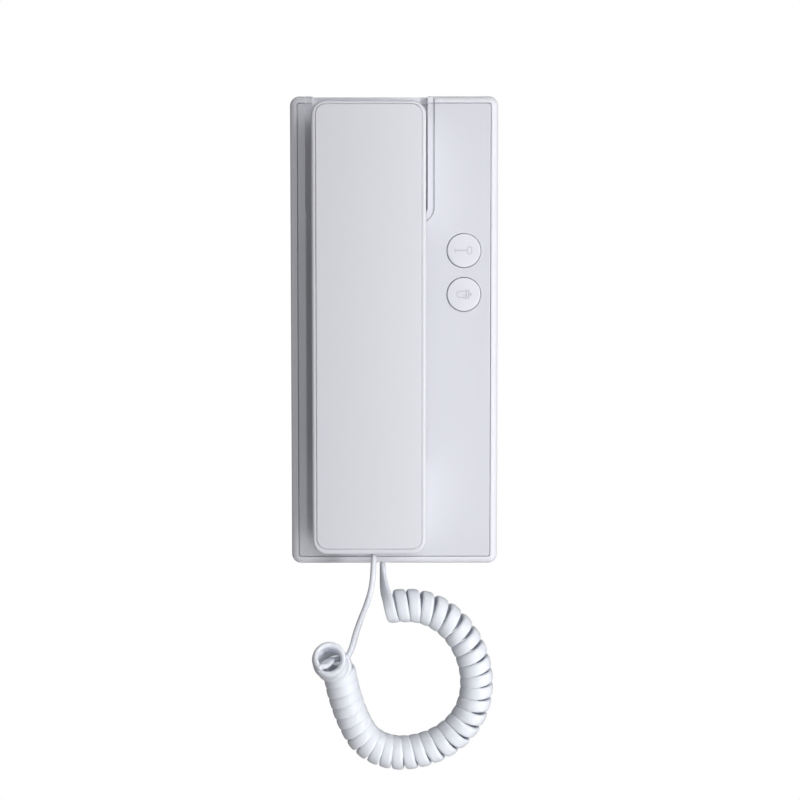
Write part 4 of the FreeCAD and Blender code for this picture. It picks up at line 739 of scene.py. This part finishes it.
class STATION_OT_inside(bpy.types.Operator):
    """Finishes the wall plate and all that the case and the handset hold"""

    bl_idname = "station.inside"
    bl_label = "Inner parts"

    def execute(self, context):
        paint(INNER_PARTS)
        return {"FINISHED"}


def soft_light(name, place, target, width, height, power):
    lamp = bpy.data.lights.new(name, "AREA")
    lamp.shape, lamp.size, lamp.size_y, lamp.energy = "RECTANGLE", width, height, power
    light = bpy.data.objects.new(name, lamp)
    bpy.context.scene.collection.objects.link(light)
    light.location = place
    light.rotation_euler = (Vector(target) - Vector(place)).to_track_quat("-Z", "Y").to_euler()


def pale_floor(colour):
    """A round sheet of paper that keeps pale by itself and throws no light on the object."""
    angles = [2 * math.pi * i / FLOOR_CORNERS for i in range(FLOOR_CORNERS)]
    rim = [(FLOOR_RADIUS * math.cos(a), FLOOR_RADIUS * math.sin(a), FLOOR_Z) for a in angles]
    sheet = bpy.data.meshes.new("floor")
    sheet.from_pydata(rim, [], [tuple(range(len(rim)))])
    paper = Finish("floor_paper", colour, 0.9, specular=0.1)
    paper.tint(paper.between(paper.cloud(400, 2), 0.4, 0.6, 0.0, 0.02), (0.9, 0.9, 0.9))
    paper.shader.inputs["Emission Color"].default_value = WHITE
    paper.shader.inputs["Emission Strength"].default_value = FLOOR_GLOW
    sheet.materials.append(paper.material)
    floor = bpy.data.objects.new("floor", sheet)
    floor.visible_diffuse = floor.visible_glossy = False
    bpy.context.scene.collection.objects.link(floor)


def white_room(strength):
    """Even light of this strength from all round, in front of a plain white backdrop."""
    world = bpy.data.worlds.new("room")
    world.use_nodes = True
    tree = world.node_tree
    walls = tree.nodes["Background"]
    walls.inputs["Color"].default_value = WHITE
    walls.inputs["Strength"].default_value = strength
    backdrop = tree.nodes.new("ShaderNodeBackground")
    backdrop.inputs["Color"].default_value = WHITE
    looked_at = tree.nodes.new("ShaderNodeLightPath").outputs["Is Camera Ray"]
    mix = tree.nodes.new("ShaderNodeMixShader")
    tree.links.new(looked_at, mix.inputs["Fac"])
    tree.links.new(walls.outputs["Background"], mix.inputs[1])
    tree.links.new(backdrop.outputs["Background"], mix.inputs[2])
    tree.links.new(mix.outputs["Shader"], tree.nodes["World Output"].inputs["Surface"])
    bpy.context.scene.world = world


class STATION_OT_stage(bpy.types.Operator):
    """Sets up the pale floor and backdrop and the soft studio light"""

    bl_idname = "station.stage"
    bl_label = "Stage"

    def execute(self, context):
        powers = context.scene.stage_light
        for name, place, target, width, height, setting in LIGHTS:
            soft_light(name, place, target, width, height, getattr(powers, setting))
        pale_floor(tuple(context.scene.station_colours.floor))
        white_room(powers.air)
        context.scene.view_settings.view_transform = "Standard"
        return {"FINISHED"}


STEPS = (
    STATION_OT_camera,
    STATION_OT_cord,
    STATION_OT_base,
    STATION_OT_handset,
    STATION_OT_inside,
    STATION_OT_stage,
)
GROUPS = (("cord_sizes", CordSizes), ("station_colours", StationColours), ("stage_light", StageLight))


class STATION_PT_panel(bpy.types.Panel):
    bl_idname = "STATION_PT_panel"
    bl_label = "Handset station"
    bl_space_type = "VIEW_3D"
    bl_region_type = "UI"
    bl_category = "Station"

    def draw(self, context):
        for name, group in GROUPS:
            box = self.layout.box()
            for value in group.__annotations__:
                box.prop(getattr(context.scene, name), value)
        for step in STEPS:
            self.layout.operator(step.bl_idname, text=step.bl_label)


def register():
    for name, group in GROUPS:
        bpy.utils.register_class(group)
        setattr(bpy.types.Scene, name, PointerProperty(type=group))
    for step in STEPS:
        bpy.utils.register_class(step)
    bpy.utils.register_class(STATION_PT_panel)


def unregister():
    bpy.utils.unregister_class(STATION_PT_panel)
    for step in reversed(STEPS):
        bpy.utils.unregister_class(step)
    for name, group in reversed(GROUPS):
        delattr(bpy.types.Scene, name)
        bpy.utils.unregister_class(group)


def main():
    register()
    for step in STEPS:
        area, name = step.bl_idname.split(".")
        getattr(getattr(bpy.ops, area), name)()


if __name__ == "__main__":
    main()
